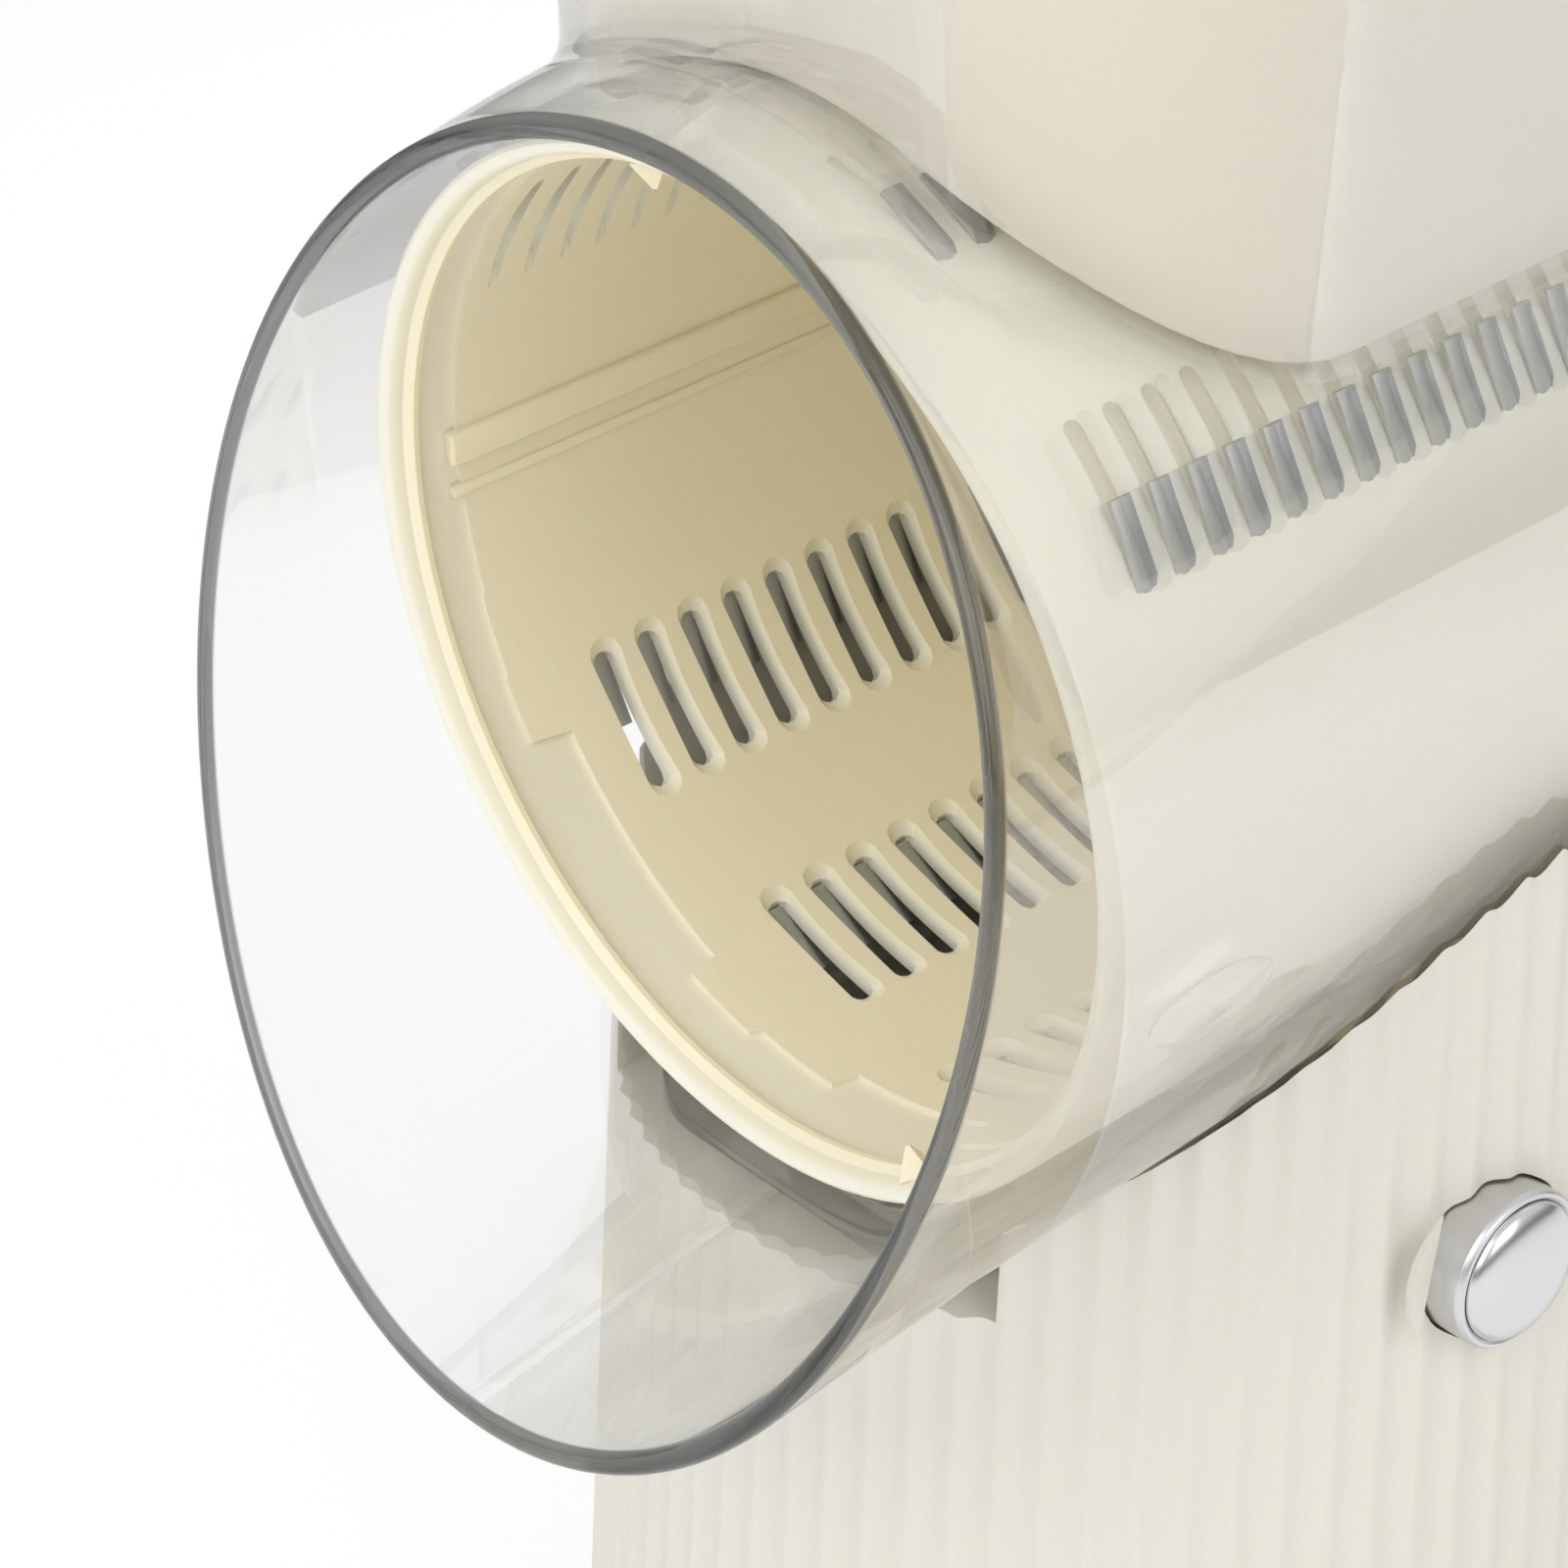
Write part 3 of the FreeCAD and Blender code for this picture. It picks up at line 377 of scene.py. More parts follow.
class Wire:
    """A shader value that can be added, multiplied and mixed like a number."""

    def __init__(self, tree: "Tree", socket: bpy.types.NodeSocket) -> None:
        """Keeps the tree and the socket."""
        self.tree = tree
        self.socket = socket

    def _math(self, operation: str, *values: object) -> "Wire":
        """One Math node on these values."""
        return self.tree.add("ShaderNodeMath", {"operation": operation}, dict(enumerate(values)))

    def __add__(self, other: object) -> "Wire":
        """The sum."""
        return self._math("ADD", self, other)

    __radd__ = __add__

    def __sub__(self, other: object) -> "Wire":
        """The difference."""
        return self._math("SUBTRACT", self, other)

    def __rsub__(self, other: object) -> "Wire":
        """The difference, from a number."""
        return self._math("SUBTRACT", other, self)

    def __mul__(self, other: object) -> "Wire":
        """The product."""
        return self._math("MULTIPLY", self, other)

    __rmul__ = __mul__

    def power(self, other: float) -> "Wire":
        """The value raised to a power."""
        return self._math("POWER", self, other)

    def clamped(self, low: float, high: float) -> "Wire":
        """The value kept between two numbers."""
        return self.tree.add("ShaderNodeClamp", {}, {"Value": self, "Min": low, "Max": high})


class Tree:
    """A material's nodes, round one Principled shader."""

    def __init__(self, name: str, **constants: object) -> None:
        """Makes the material and sets the values that are the same all over.

        Args:
            name: the material's name.
            constants: values of the Principled shader's sockets, spaces as underlines.
        """
        self.material = bpy.data.materials.new(name)
        self.material.use_nodes = True
        self.nodes = self.material.node_tree.nodes
        self.links = self.material.node_tree.links
        self.shader = self.nodes["Principled BSDF"]
        for key, value in constants.items():
            self.shader.inputs[key.replace("_", " ")].default_value = value

    def add(self, kind: str, settings: dict[str, object], values: dict[object, object],
            out: object = 0) -> Wire:
        """Adds one node.

        Args:
            kind: the node's type.
            settings: the node's own settings, which are set first.
            values: numbers or wires for its inputs.
            out: which output is returned.

        Returns:
            The wanted output.
        """
        made = self.nodes.new(kind)
        for key, value in settings.items():
            setattr(made, key, value)
        for key, value in values.items():
            self.connect(made.inputs[key], value)
        return Wire(self, made.outputs[out])

    def connect(self, socket: bpy.types.NodeSocket, value: object) -> None:
        """Links a wire to a socket, or sets its value."""
        if isinstance(value, Wire):
            self.links.new(value.socket, socket)
        else:
            socket.default_value = value

    def drive(self, socket: str, value: Wire) -> None:
        """Feeds one of the shader's sockets."""
        self.connect(self.shader.inputs[socket], value)

    def place(self, scale: tuple[float, float, float] = (1, 1, 1)) -> Wire:
        """The piece's own coordinates, stretched."""
        own = self.add("ShaderNodeTexCoord", {}, {}, "Object")
        return self.add("ShaderNodeMapping", {}, {"Vector": own, "Scale": scale})

    def noise(self, scale: float, stretch: tuple[float, float, float] = (1, 1, 1),
              detail: float = 3.0) -> Wire:
        """A noise pattern in metres of the piece.

        Args:
            scale: how many grains go in a metre.
            stretch: how the pattern is stretched on each axis.
            detail: how much finer grain there is.

        Returns:
            The pattern, from 0 to 1.
        """
        return self.add("ShaderNodeTexNoise", {},
                        {"Vector": self.place(stretch), "Scale": scale, "Detail": detail})

    def blend(self, share: Wire, low: Sequence[float], high: Sequence[float]) -> Wire:
        """A colour between two, by a share."""
        return self.add("ShaderNodeMix", {"data_type": "RGBA"}, {0: share, 6: (*low, 1), 7: (*high, 1)}, 2)

    def bump(self, height: Wire, strength: float, distance: float) -> None:
        """Feeds a bump to the shader's Normal."""
        made = self.add("ShaderNodeBump", {}, {"Strength": strength, "Distance": distance, "Height": height})
        self.drive("Normal", made)


@dataclass(frozen=True)
class Moulded:
    """A moulded plastic: colour that drifts a little, faint flow in its gloss and fine skin."""

    name: str
    low: Colour
    high: Colour
    rough: float
    skin: float = 0.02
    glow: float = 0.0

    def make(self) -> bpy.types.Material:
        """The material."""
        tree = Tree(self.name, IOR=1.49, Subsurface_Weight=self.glow, Subsurface_Scale=0.004,
                    Subsurface_Radius=GLOW_RADIUS)
        drift = tree.noise(DRIFT_GRAIN, (1, 1, 0.5), 2.0)
        tree.drive("Base Color", tree.blend(drift, self.low, self.high))
        flow = tree.noise(140.0, (1, 1, 0.25))
        tree.drive("Roughness", (flow * 0.14 + (self.rough - 0.07)).clamped(0.05, 1.0))
        tree.bump(tree.noise(SKIN_GRAIN, detail=2.0), self.skin, 0.0004)
        return tree.material


@dataclass(frozen=True)
class DrummedWithPaintedShade:
    """The drum's plastic: paler outside. The warmer tan on the inner wall is painted shade, standing in for
    light bounced round the drum's hollow.
    """

    name: str
    outside: Colour
    # inside: the inner wall's colour, painted shade from light bounced in the hollow
    inside: Colour
    rough: float
    axis_point: Colour
    axis_way: Colour
    painted_shade_radius: float = 0.0418

    def make(self) -> bpy.types.Material:
        """The material."""
        tree = Tree(self.name, IOR=1.49, Subsurface_Weight=0.08, Subsurface_Scale=0.003,
                    Subsurface_Radius=GLOW_RADIUS)
        own = tree.add("ShaderNodeTexCoord", {}, {}, "Object")
        shift = tree.add("ShaderNodeVectorMath", {"operation": "SUBTRACT"}, {0: own, 1: self.axis_point})
        arm = tree.add("ShaderNodeVectorMath", {"operation": "CROSS_PRODUCT"}, {0: shift, 1: self.axis_way})
        radius = tree.add("ShaderNodeVectorMath", {"operation": "LENGTH"}, {0: arm}, 1)
        # painted shade mask: 1 on the inner wall, where the warmer tan stands in for bounced light and shade
        inner = ((self.painted_shade_radius - radius) * 900.0).clamped(0.0, 1.0)
        drift = tree.noise(DRIFT_GRAIN, (1, 1, 0.5), 2.0)
        share = (inner * 0.9 + drift * 0.2 - 0.05).clamped(0.0, 1.0)
        tree.drive("Base Color", tree.blend(share, self.outside, self.inside))
        tree.drive("Roughness", (tree.noise(140.0) * 0.14 + (self.rough - 0.07)).clamped(0.05, 1.0))
        tree.bump(tree.noise(SKIN_GRAIN, detail=2.0), 0.03, 0.0004)
        return tree.material


@dataclass(frozen=True)
class Metal:
    """A metal with the fine lines that its making leaves."""

    name: str
    colour: Colour
    rough: float
    lines: Colour
    depth: float = 0.05
    spread: float = 0.22

    def make(self) -> bpy.types.Material:
        """The material."""
        tree = Tree(self.name, Metallic=1.0)
        grain = tree.noise(900.0, self.lines)
        spots = tree.noise(180.0)
        dark = tuple(value * (1 - 0.64 * self.spread) for value in self.colour)
        tree.drive("Base Color", tree.blend(spots, dark, self.colour))
        tree.drive("Roughness", (grain * self.spread + (self.rough - self.spread / 2)).clamped(0.03, 1.0))
        tree.bump(grain, self.depth, 0.0002)
        return tree.material


@dataclass(frozen=True)
class Rubber:
    """Dark rubber with a dusty, grained skin."""

    name: str

    def make(self) -> bpy.types.Material:
        """The material."""
        tree = Tree(self.name, IOR=1.52)
        dust = tree.noise(90.0)
        tree.drive("Base Color", tree.blend(dust, (0.022, 0.022, 0.024), (0.055, 0.054, 0.052)))
        tree.drive("Roughness", dust * 0.25 + 0.55)
        tree.bump(tree.noise(1500.0), 0.2, 0.0006)
        return tree.material


@dataclass(frozen=True)
class Clear:
    """Clear moulded plastic: open where it faces the eye, more opaque where light runs along its wall.

    The lip's end is seen along the wall, so it is opaque as a whole. Its colour turns dark grey at grazing
    angles and on the lip's end: painted dark refraction of the surroundings.
    """

    name: str
    lip_point: Colour
    lip_way: Colour
    open_share: float = 0.84
    lip_deep: float = 0.0009

    def make(self) -> bpy.types.Material:
        """The material."""
        tree = Tree(self.name, IOR=1.49, Transmission_Weight=1.0)
        haze = tree.noise(40.0)
        own = tree.add("ShaderNodeTexCoord", {}, {}, "Object")
        from_lip = tree.add("ShaderNodeVectorMath", {"operation": "SUBTRACT"}, {0: own, 1: self.lip_point})
        ahead = tree.add("ShaderNodeVectorMath", {"operation": "DOT_PRODUCT"},
                         {0: from_lip, 1: self.lip_way}, 1)
        lip = ((ahead + self.lip_deep) * (3.0 / self.lip_deep)).clamped(0.0, 1.0)
        facing = tree.add("ShaderNodeLayerWeight", {}, {"Blend": 0.5}, "Facing")
        # painted dark refraction: the colour turns dark grey at grazing angles and on the lip's end
        painted_dark_edge = (facing.power(4.0) * 0.35 + lip * 0.95).clamped(0.0, 1.0)
        tree.drive("Base Color", tree.blend(painted_dark_edge, (0.70, 0.70, 0.685), (0.05, 0.055, 0.062)))
        tree.drive("Roughness", haze * 0.012)
        tree.drive("Alpha",
                   (facing.power(1.6) * self.open_share + lip + (1 - self.open_share)).clamped(0.0, 1.0))
        tree.bump(tree.noise(55.0, (1, 1, 1), 1.0), 0.015, 0.002)
        return tree.material


# ---------------------------------------------------------------- the object's own frame


@dataclass
class Station:
    """The drum's axis: its origin is the middle of the drum's front rim and its Y runs to the crank."""

    frame: dict
    matrix: Matrix = field(init=False)
    rim: Vector = field(init=False)

    def __post_init__(self) -> None:
        """Reads the axis from the crank's joint."""
        joint = next(row for row in self.frame["joints"] if row["name"] == "crank_turn")
        self.rim = Vector(joint["pos_m"])
        along = Vector(joint["axis"]).normalized()
        across = Vector((1, 0, 0))
        above = across.cross(along)
        turn = Matrix((across, along, above)).transposed().to_4x4()
        self.matrix = Matrix.Translation(self.rim) @ turn

    def at(self, across: float, along: float, above: float) -> Vector:
        """A point given in millimetres in the drum's frame."""
        return self.matrix @ Vector((across * MM, along * MM, above * MM))

    def round_axis(self, radius: float, along: float, turn: float) -> Vector:
        """A point at a radius and an angle above +X, in radians, round the axis."""
        return self.at(radius * math.cos(turn), along, radius * math.sin(turn))

    def turning(self, along: float = 0.0, across: float = 0.0, above: float = 0.0) -> Matrix:
        """A place whose Z runs along the drum's axis."""
        shift = Matrix.Translation(Vector((across, along, above)) * MM)
        return self.matrix @ shift @ Matrix.Rotation(math.radians(-90), 4, "X")


# ---------------------------------------------------------------- clear housing


@dataclass
class Housing:
    """Clear tube with a leaning flared mouth, a drafted chute with filleted foot and a rail below."""

    station: Station
    tube: float = 47.3
    wall: float = 2.0
    back: float = 92.0
    back_inside: float = 89.5
    reach: float = 15.7
    drop: float = 4.1
    lean: float = 11.4
    mean: float = 48.9
    oval: float = 1.95
    egg: float = 0.98
    lip: float = 0.9
    chute_half: float = 39.0
    chute_front: float = 3.8
    chute_deep: float = 80.0
    chute_corner: float = 25.0
    chute_top: float = 75.0
    chute_level: float = 45.0
    draft: float = 1.5
    fillet: float = 3.4
    rail_half: float = 20.5
    rail_front: float = 1.7
    rail_corner: float = 9.0
    rail_low: float = 48.8
    seam: float = 0.07
    ring_steps: int = 168
    corner_steps: int = 14
    flare_steps: int = 12
    tube_rings: tuple[float, ...] = (70.0, 45.0, 25.0)
    lug_turn: float = 101.3
    lug_along: float = 6.4
    lug_size: tuple[float, float, float] = (2.7, 6.0, 1.2)

    def turns(self) -> list[tuple[float, float]]:
        """Angles from straight up towards +X, each with how far a mould seam lifts the surface there."""
        count = self.ring_steps
        step = 2 * math.pi / count
        found = []
        for index in range(count):
            turn = step * index
            if index in (0, count // 2):
                found += [(turn - 0.0045, 0.0), (turn - 0.0012, self.seam), (turn + 0.0012, self.seam),
                          (turn + 0.0045, 0.0)]
            else:
                found.append((turn, 0.0))
        return found

    def mouth(self, turn: float, inset: float, behind: float) -> Vector:
        """A point of the mouth's edge, moved in and back in the mouth's own plane."""
        lean = math.radians(self.lean)
        up = Vector((0, math.sin(lean), math.cos(lean)))
        out = Vector((0, -math.cos(lean), math.sin(lean)))
        reach = self.mean + self.oval * math.cos(2 * turn) - self.egg * math.cos(3 * turn) - inset
        flat = Vector((0, -self.reach, -self.drop)) + Vector((1, 0, 0)) * reach * math.sin(turn)
        return self.station.rim + (flat + up * reach * math.cos(turn) - out * behind) * MM

    def ring(self, radius: float, along: float, turn: float) -> Vector:
        """A point of the tube."""
        return self.station.at(radius * math.sin(turn), along, radius * math.cos(turn))

    def skin(self, name: str, inset: float, back: float,
             lip: Sequence[tuple[float, float]]) -> bpy.types.Object:
        """Tube and mouth as one solid.

        Args:
            name: the object's name.
            inset: how far the surface lies inside the outer one.
            back: where the solid ends behind, in millimetres.
            lip: inset and depth behind the mouth's plane of each ring of the lip.

        Returns:
            The solid.
        """
        radius = self.tube - inset
        rings = []
        for along in (back, *self.tube_rings):
            rings.append([self.ring(radius + lift, along, turn) for turn, lift in self.turns()])
        for step in range(self.flare_steps + 1):
            share = step / self.flare_steps
            row = []
            for turn, lift in self.turns():
                low = (1 - math.cos(turn)) / 2
                start = self.ring(radius + lift, 6.5 + 9.5 * low, turn)
                knee = self.ring(radius + lift, 4.0 - 1.0 * low, turn)
                end = self.mouth(turn, lip[0][0] - lift, lip[0][1])
                row.append(start * (1 - share) ** 2 + knee * 2 * share * (1 - share) + end * share ** 2)
            rings.append(row)
        for deep, behind in lip[1:]:
            rings.append([self.mouth(turn, deep, behind) for turn, _lift in self.turns()])
        return grid_solid(name, rings)

    def plan(self, half: float, front: float, back: float,
             corner: float) -> list[tuple[Vector, Vector, float]]:
        """A rounded rectangle as points, outward normals and the lift of the mould's seam."""
        found = []
        spots = ((half - corner, front + corner, -90), (half - corner, back - corner, 0),
                 (-half + corner, back - corner, 90), (-half + corner, front + corner, 180))
        steps = self.corner_steps
        for x, y, start in spots:
            for step in range(steps + 1):
                turn = math.radians(start + 90 * step / steps)
                normal = Vector((math.cos(turn), math.sin(turn), 0))
                found.append((Vector((x, y, 0)) + normal * corner, normal, 0.0))
        ahead = Vector((0, -1, 0))
        flat = half - corner
        front_run = [(-0.6 * flat, 0.0), (-0.22, 0.0), (-0.05, self.seam), (0.05, self.seam), (0.22, 0.0),
                     (0.6 * flat, 0.0)]
        found += [(Vector((x, front, 0)), ahead, lift) for x, lift in front_run]
        sides = [(Vector((half, front + corner + (back - front - 2 * corner) * share, 0)), Vector((1, 0, 0)),
                  0.0)
                 for share in (0.25, 0.5, 0.75)]
        others = [(Vector((-point.x, point.y, 0)), Vector((-1, 0, 0)), 0.0) for point, _n,
                  _l in reversed(sides)]
        rears = [(Vector((x * flat, back, 0)), Vector((0, 1, 0)), 0.0) for x in (0.5, 0.0, -0.5)]
        arcs = [found[index * (steps + 1):(index + 1) * (steps + 1)] for index in range(4)]
        run = found[4 * (steps + 1):]
        return arcs[0] + sides + arcs[1] + rears + arcs[2] + others + arcs[3] + run

    def chute_plan(self) -> list[tuple[Vector, Vector, float]]:
        """The chute's own plan."""
        back = self.chute_front + self.chute_deep
        return self.plan(self.chute_half, self.chute_front, back, self.chute_corner)

    def spread(self, height: float) -> float:
        """How far the draft moves the chute's wall out at a height above the rim."""
        return math.tan(math.radians(self.draft)) * (height - self.chute_level)

    def radius_of(self, point: Vector) -> float:
        """Distance from the drum's axis of a point in millimetres from the rim."""
        own = self.station.matrix.to_3x3().transposed() @ point
        return math.hypot(own.x, own.z)

    def wall_point(self, spot: Vector, normal: Vector, height: float, out: float = 0.0) -> Vector:
        """A point of the chute's wall at a height, moved outwards."""
        return Vector((spot.x, spot.y, 0)) + normal * (self.spread(height) + out) + Vector((0, 0, height))

    def drop_to_tube(self, spot: Vector, normal: Vector, out: float) -> float:
        """Height at which a line down beside the chute's wall meets the tube."""
        low, high = 0.0, 60.0
        for _ in range(30):
            middle = (low + high) / 2
            if self.radius_of(self.wall_point(spot, normal, middle, out)) > self.tube:
                high = middle
            else:
                low = middle
        return high

    def chute(self) -> bpy.types.Object:
        """The chute's outside, whose foot runs out smoothly onto the tube."""
        rows: list[list[Vector]] = [[] for _ in range(13)]
        plan = self.chute_plan()
        for spot, normal, lift in plan:
            foot = self.drop_to_tube(spot, normal, 0.0)
            corner = self.wall_point(spot, normal, foot)
            low, high = 0.0, self.fillet
            for _ in range(24):
                out = (low + high) / 2
                there = self.wall_point(spot, normal, self.drop_to_tube(spot, normal, out), out)
                low, high = (low, out) if (there - corner).length > self.fillet else (out, high)
            there = self.wall_point(spot, normal, self.drop_to_tube(spot, normal, high), high)
            above = self.wall_point(spot, normal, foot + self.fillet, lift)
            column = [self.wall_point(spot, normal, self.chute_top, lift - 0.5),
                      self.wall_point(spot, normal, self.chute_top - 0.5, lift), above]
            for step in range(1, 8):
                share = step / 7
                bend = corner * 2 * share * (1 - share)
                column.append(above * (1 - share) ** 2 + bend + there * share ** 2)
            down = (there - corner).normalized()
            inward = self.station.matrix.to_3x3() @ Vector((0, 0, -1))
            column.append(there + down * 0.35 + inward * 0.25 - normal * 0.05)
            column.append(self.wall_point(spot, normal, 24.0 if foot > 30 else foot - 5, -4.0))
            column.append(self.wall_point(spot, normal, 15.0, -6.0))
            for row, point in zip(rows, column):
                row.append(self.station.rim + point * MM)
        return grid_solid("chute", rows)

    def well(self) -> bpy.types.Object:
        """The chute's inside."""
        rows = []
        plan = self.chute_plan()
        for height, out in ((5.0, 0.0), (30.0, 0.0), (self.chute_top - 0.5, 0.0), (self.chute_top - 0.1, 0.5),
                            (self.chute_top + 2, 0.6)):
            rows.append([self.station.rim + self.wall_point(spot, normal, height, out - self.wall) * MM
                         for spot, normal, _lift in plan])
        return grid_solid("well", rows)

    def rail(self, name: str, inset: float, low: float, top: float) -> bpy.types.Object:
        """The rail below the tube, or the trough in it."""
        plan = self.plan(self.rail_half - inset, self.rail_front + inset, self.back_inside - inset,
                         self.rail_corner - inset)
        rows = []
        for above, shrink in ((-low, 0.9), (-low + 0.3, 0.35), (-low + 0.9, 0.0), (-top, 0.0)):
            rows.append([self.station.at(*(spot - normal * shrink + Vector((0, 0, above))))
                         for spot, normal, _lift in plan])
        return grid_solid(name, rows)

    def lug(self) -> bpy.types.Object:
        """The low lens-shaped swelling on the tube's lower right side."""
        deselect()
        bpy.ops.mesh.primitive_uv_sphere_add(segments=40, ring_count=20, radius=MM)
        piece = bpy.context.object
        piece.data.transform(Matrix.Diagonal((*self.lug_size, 1.0)))
        turn = Matrix.Rotation(math.radians(self.lug_turn), 4, "Y")
        shift = Matrix.Translation(Vector((0, self.lug_along, self.tube)) * MM)
        piece.data.transform(self.station.matrix @ turn @ shift)
        return piece

    def build(self) -> bpy.types.Object:
        """The whole clear moulding.

        Returns:
            The finished piece.
        """
        out_lip = [(0.0, self.lip + 0.1)]
        in_lip = [(self.wall, self.lip + 0.1)]
        for step in range(1, 6):
            turn = math.radians(18 * step)
            out_lip.append((self.lip * (1 - math.cos(turn)),
                            self.lip * (1 - math.sin(turn)) + 0.1 * (1 - step / 5)))
            in_lip.append((self.wall - self.lip * (1 - math.cos(turn)),
                           self.lip * (1 - math.sin(turn)) + 0.04))
        in_lip.append((self.wall - self.lip, -2.0))
        piece = self.skin("drum_housing_clear", 0.0, self.back, out_lip)
        combine(piece, self.chute(), Cut.JOIN)
        combine(piece, self.rail("rail", 0.0, self.rail_low, 39.0), Cut.JOIN)
        combine(piece, self.lug(), Cut.JOIN)
        combine(piece, self.skin("hollow", self.wall, self.back_inside, in_lip), Cut.REMOVE)
        combine(piece, self.well(), Cut.REMOVE)
        combine(piece, self.rail("trough", self.wall, self.rail_low - self.wall, 36.0), Cut.REMOVE)
        hole = turned("hole", [(14.0, 88.5), (14.0, 93.5)], self.station.turning(), 64)
        combine(piece, hole, Cut.REMOVE)
        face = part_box("latch_bar")
        middle = (face[0] + face[1]) / 2
        pocket = block("pocket", (13.2, 8, 14), (-3.0, middle.y / MM, face[1].z / MM - 1.0),
                       Matrix.Identity(4))
        combine(piece, pocket, Cut.REMOVE)
        return smooth(piece, 32)


# ---------------------------------------------------------------- pusher


@dataclass
class Pusher:
    """Hollow pusher that fills the chute, with its underside hollowed to clear the drum."""

    station: Station
    housing: Housing
    gap: float = 0.8
    wall: float = 2.2
    clear: float = 45.5
    low: float = 17.0
    top: float = 75.3
    edge: float = 0.8

    def core(self, name: str, inset: float, low: float, top: float) -> bpy.types.Object:
        """The chute's inside between two heights, moved in."""
        box = self.housing
        plan = box.chute_plan()
        rows = []
        for height in (low, (low + top) / 2, top):
            rows.append([self.station.rim + box.wall_point(spot, normal, height, -inset) * MM
                         for spot, normal, _lift in plan])
        return grid_solid(name, rows)

    def build(self) -> bpy.types.Object:
        """The pusher's body."""
        inset = self.housing.wall + self.gap
        piece = self.core("pusher_body", inset, self.low, self.top)
        room = self.core("room", inset + self.wall, self.low - 2, self.top + 1)
        for target, radius in ((piece, self.clear), (room, self.clear + self.wall)):
            drum = turned("drum_room", [(radius, -60), (radius, 140)], self.station.turning(), 240)
            combine(target, drum, Cut.REMOVE)
        combine(piece, room, Cut.REMOVE)
        finish_with(piece, "BEVEL", width=self.edge * MM, segments=3, limit_method="ANGLE",
                    angle_limit=math.radians(50), use_clamp_overlap=True)
        return smooth(piece, 30)


# ---------------------------------------------------------------- fluted column


@dataclass
class Column:
    """The pedestal's shell, whose outside is cut into fine flutes that narrow towards the top."""

    station: Station
    low: float = 1.5
    high: float = 162.0
    half_foot: float = 53.0
    half_top: float = 45.0
    straight: float = 30.0
    head_radius: float = 47.4
    head_front: float = 92.1
    head_back: float = 123.0
    side_flutes: int = 8
    end_flutes: int = 40
    samples: int = 8
    skin: float = 0.04
    depth: float = 0.55

    def half(self, height: float) -> float:
        """Half the column's width at a height."""
        share = (height - self.low) / (self.high - self.low)
        return self.half_foot + share * (self.half_top - self.half_foot)

    def ring(self, height: float, depth: float, inset: float) -> list[Vector]:
        """The column's plan at a height.

        Args:
            height: millimetres above the table.
            depth: depth of the flutes.
            inset: how far the crests lie inside the column's plain surface.

        Returns:
            The plan's points in metres.
        """
        half = self.half(height)
        run = self.straight / 2
        points = []
        for side in (1, -1):
            for step in range(self.side_flutes * self.samples):
                share = step / (self.side_flutes * self.samples)
                dip = inset + depth * self.groove(share * self.side_flutes)
                points.append(Vector((side * (half - dip), side * (-run + 2 * run * share), height)) * MM)
            for step in range(self.end_flutes * self.samples):
                share = step / (self.end_flutes * self.samples)
                dip = inset + depth * self.groove(share * self.end_flutes)
                turn = math.pi * share
                across = side * (half - dip) * math.cos(turn)
                points.append(Vector((across, side * (run + (half - dip) * math.sin(turn)), height)) * MM)
        return points

    @staticmethod
    def groove(place: float) -> float:
        """Depth of a flute, from 0 to 1, at a place counted in flutes."""
        return ((1 - math.cos(2 * math.pi * place)) / 2) ** 0.8

    def build(self) -> bpy.types.Object:
        """The fluted shell."""
        piece = moulding("pedestal_column", "pedestal_shell")
        bottom, top = self.low - 1.0, self.high + 1.0
        rings = [self.ring(bottom, self.depth, self.skin), self.ring(top, self.depth, self.skin),
                 self.ring(top, 0.0, -1.5), self.ring(bottom, 0.0, -1.5)]
        cutter = grid_solid("flutes", rings, wrap=True)
        head = turned("head", [(self.head_radius, self.head_front),
                               (self.head_radius, self.head_back)],
                      self.station.turning(), 128)
        combine(cutter, head, Cut.REMOVE)
        combine(piece, cutter, Cut.REMOVE)
        return smooth(piece, 28)


# ---------------------------------------------------------------- drum


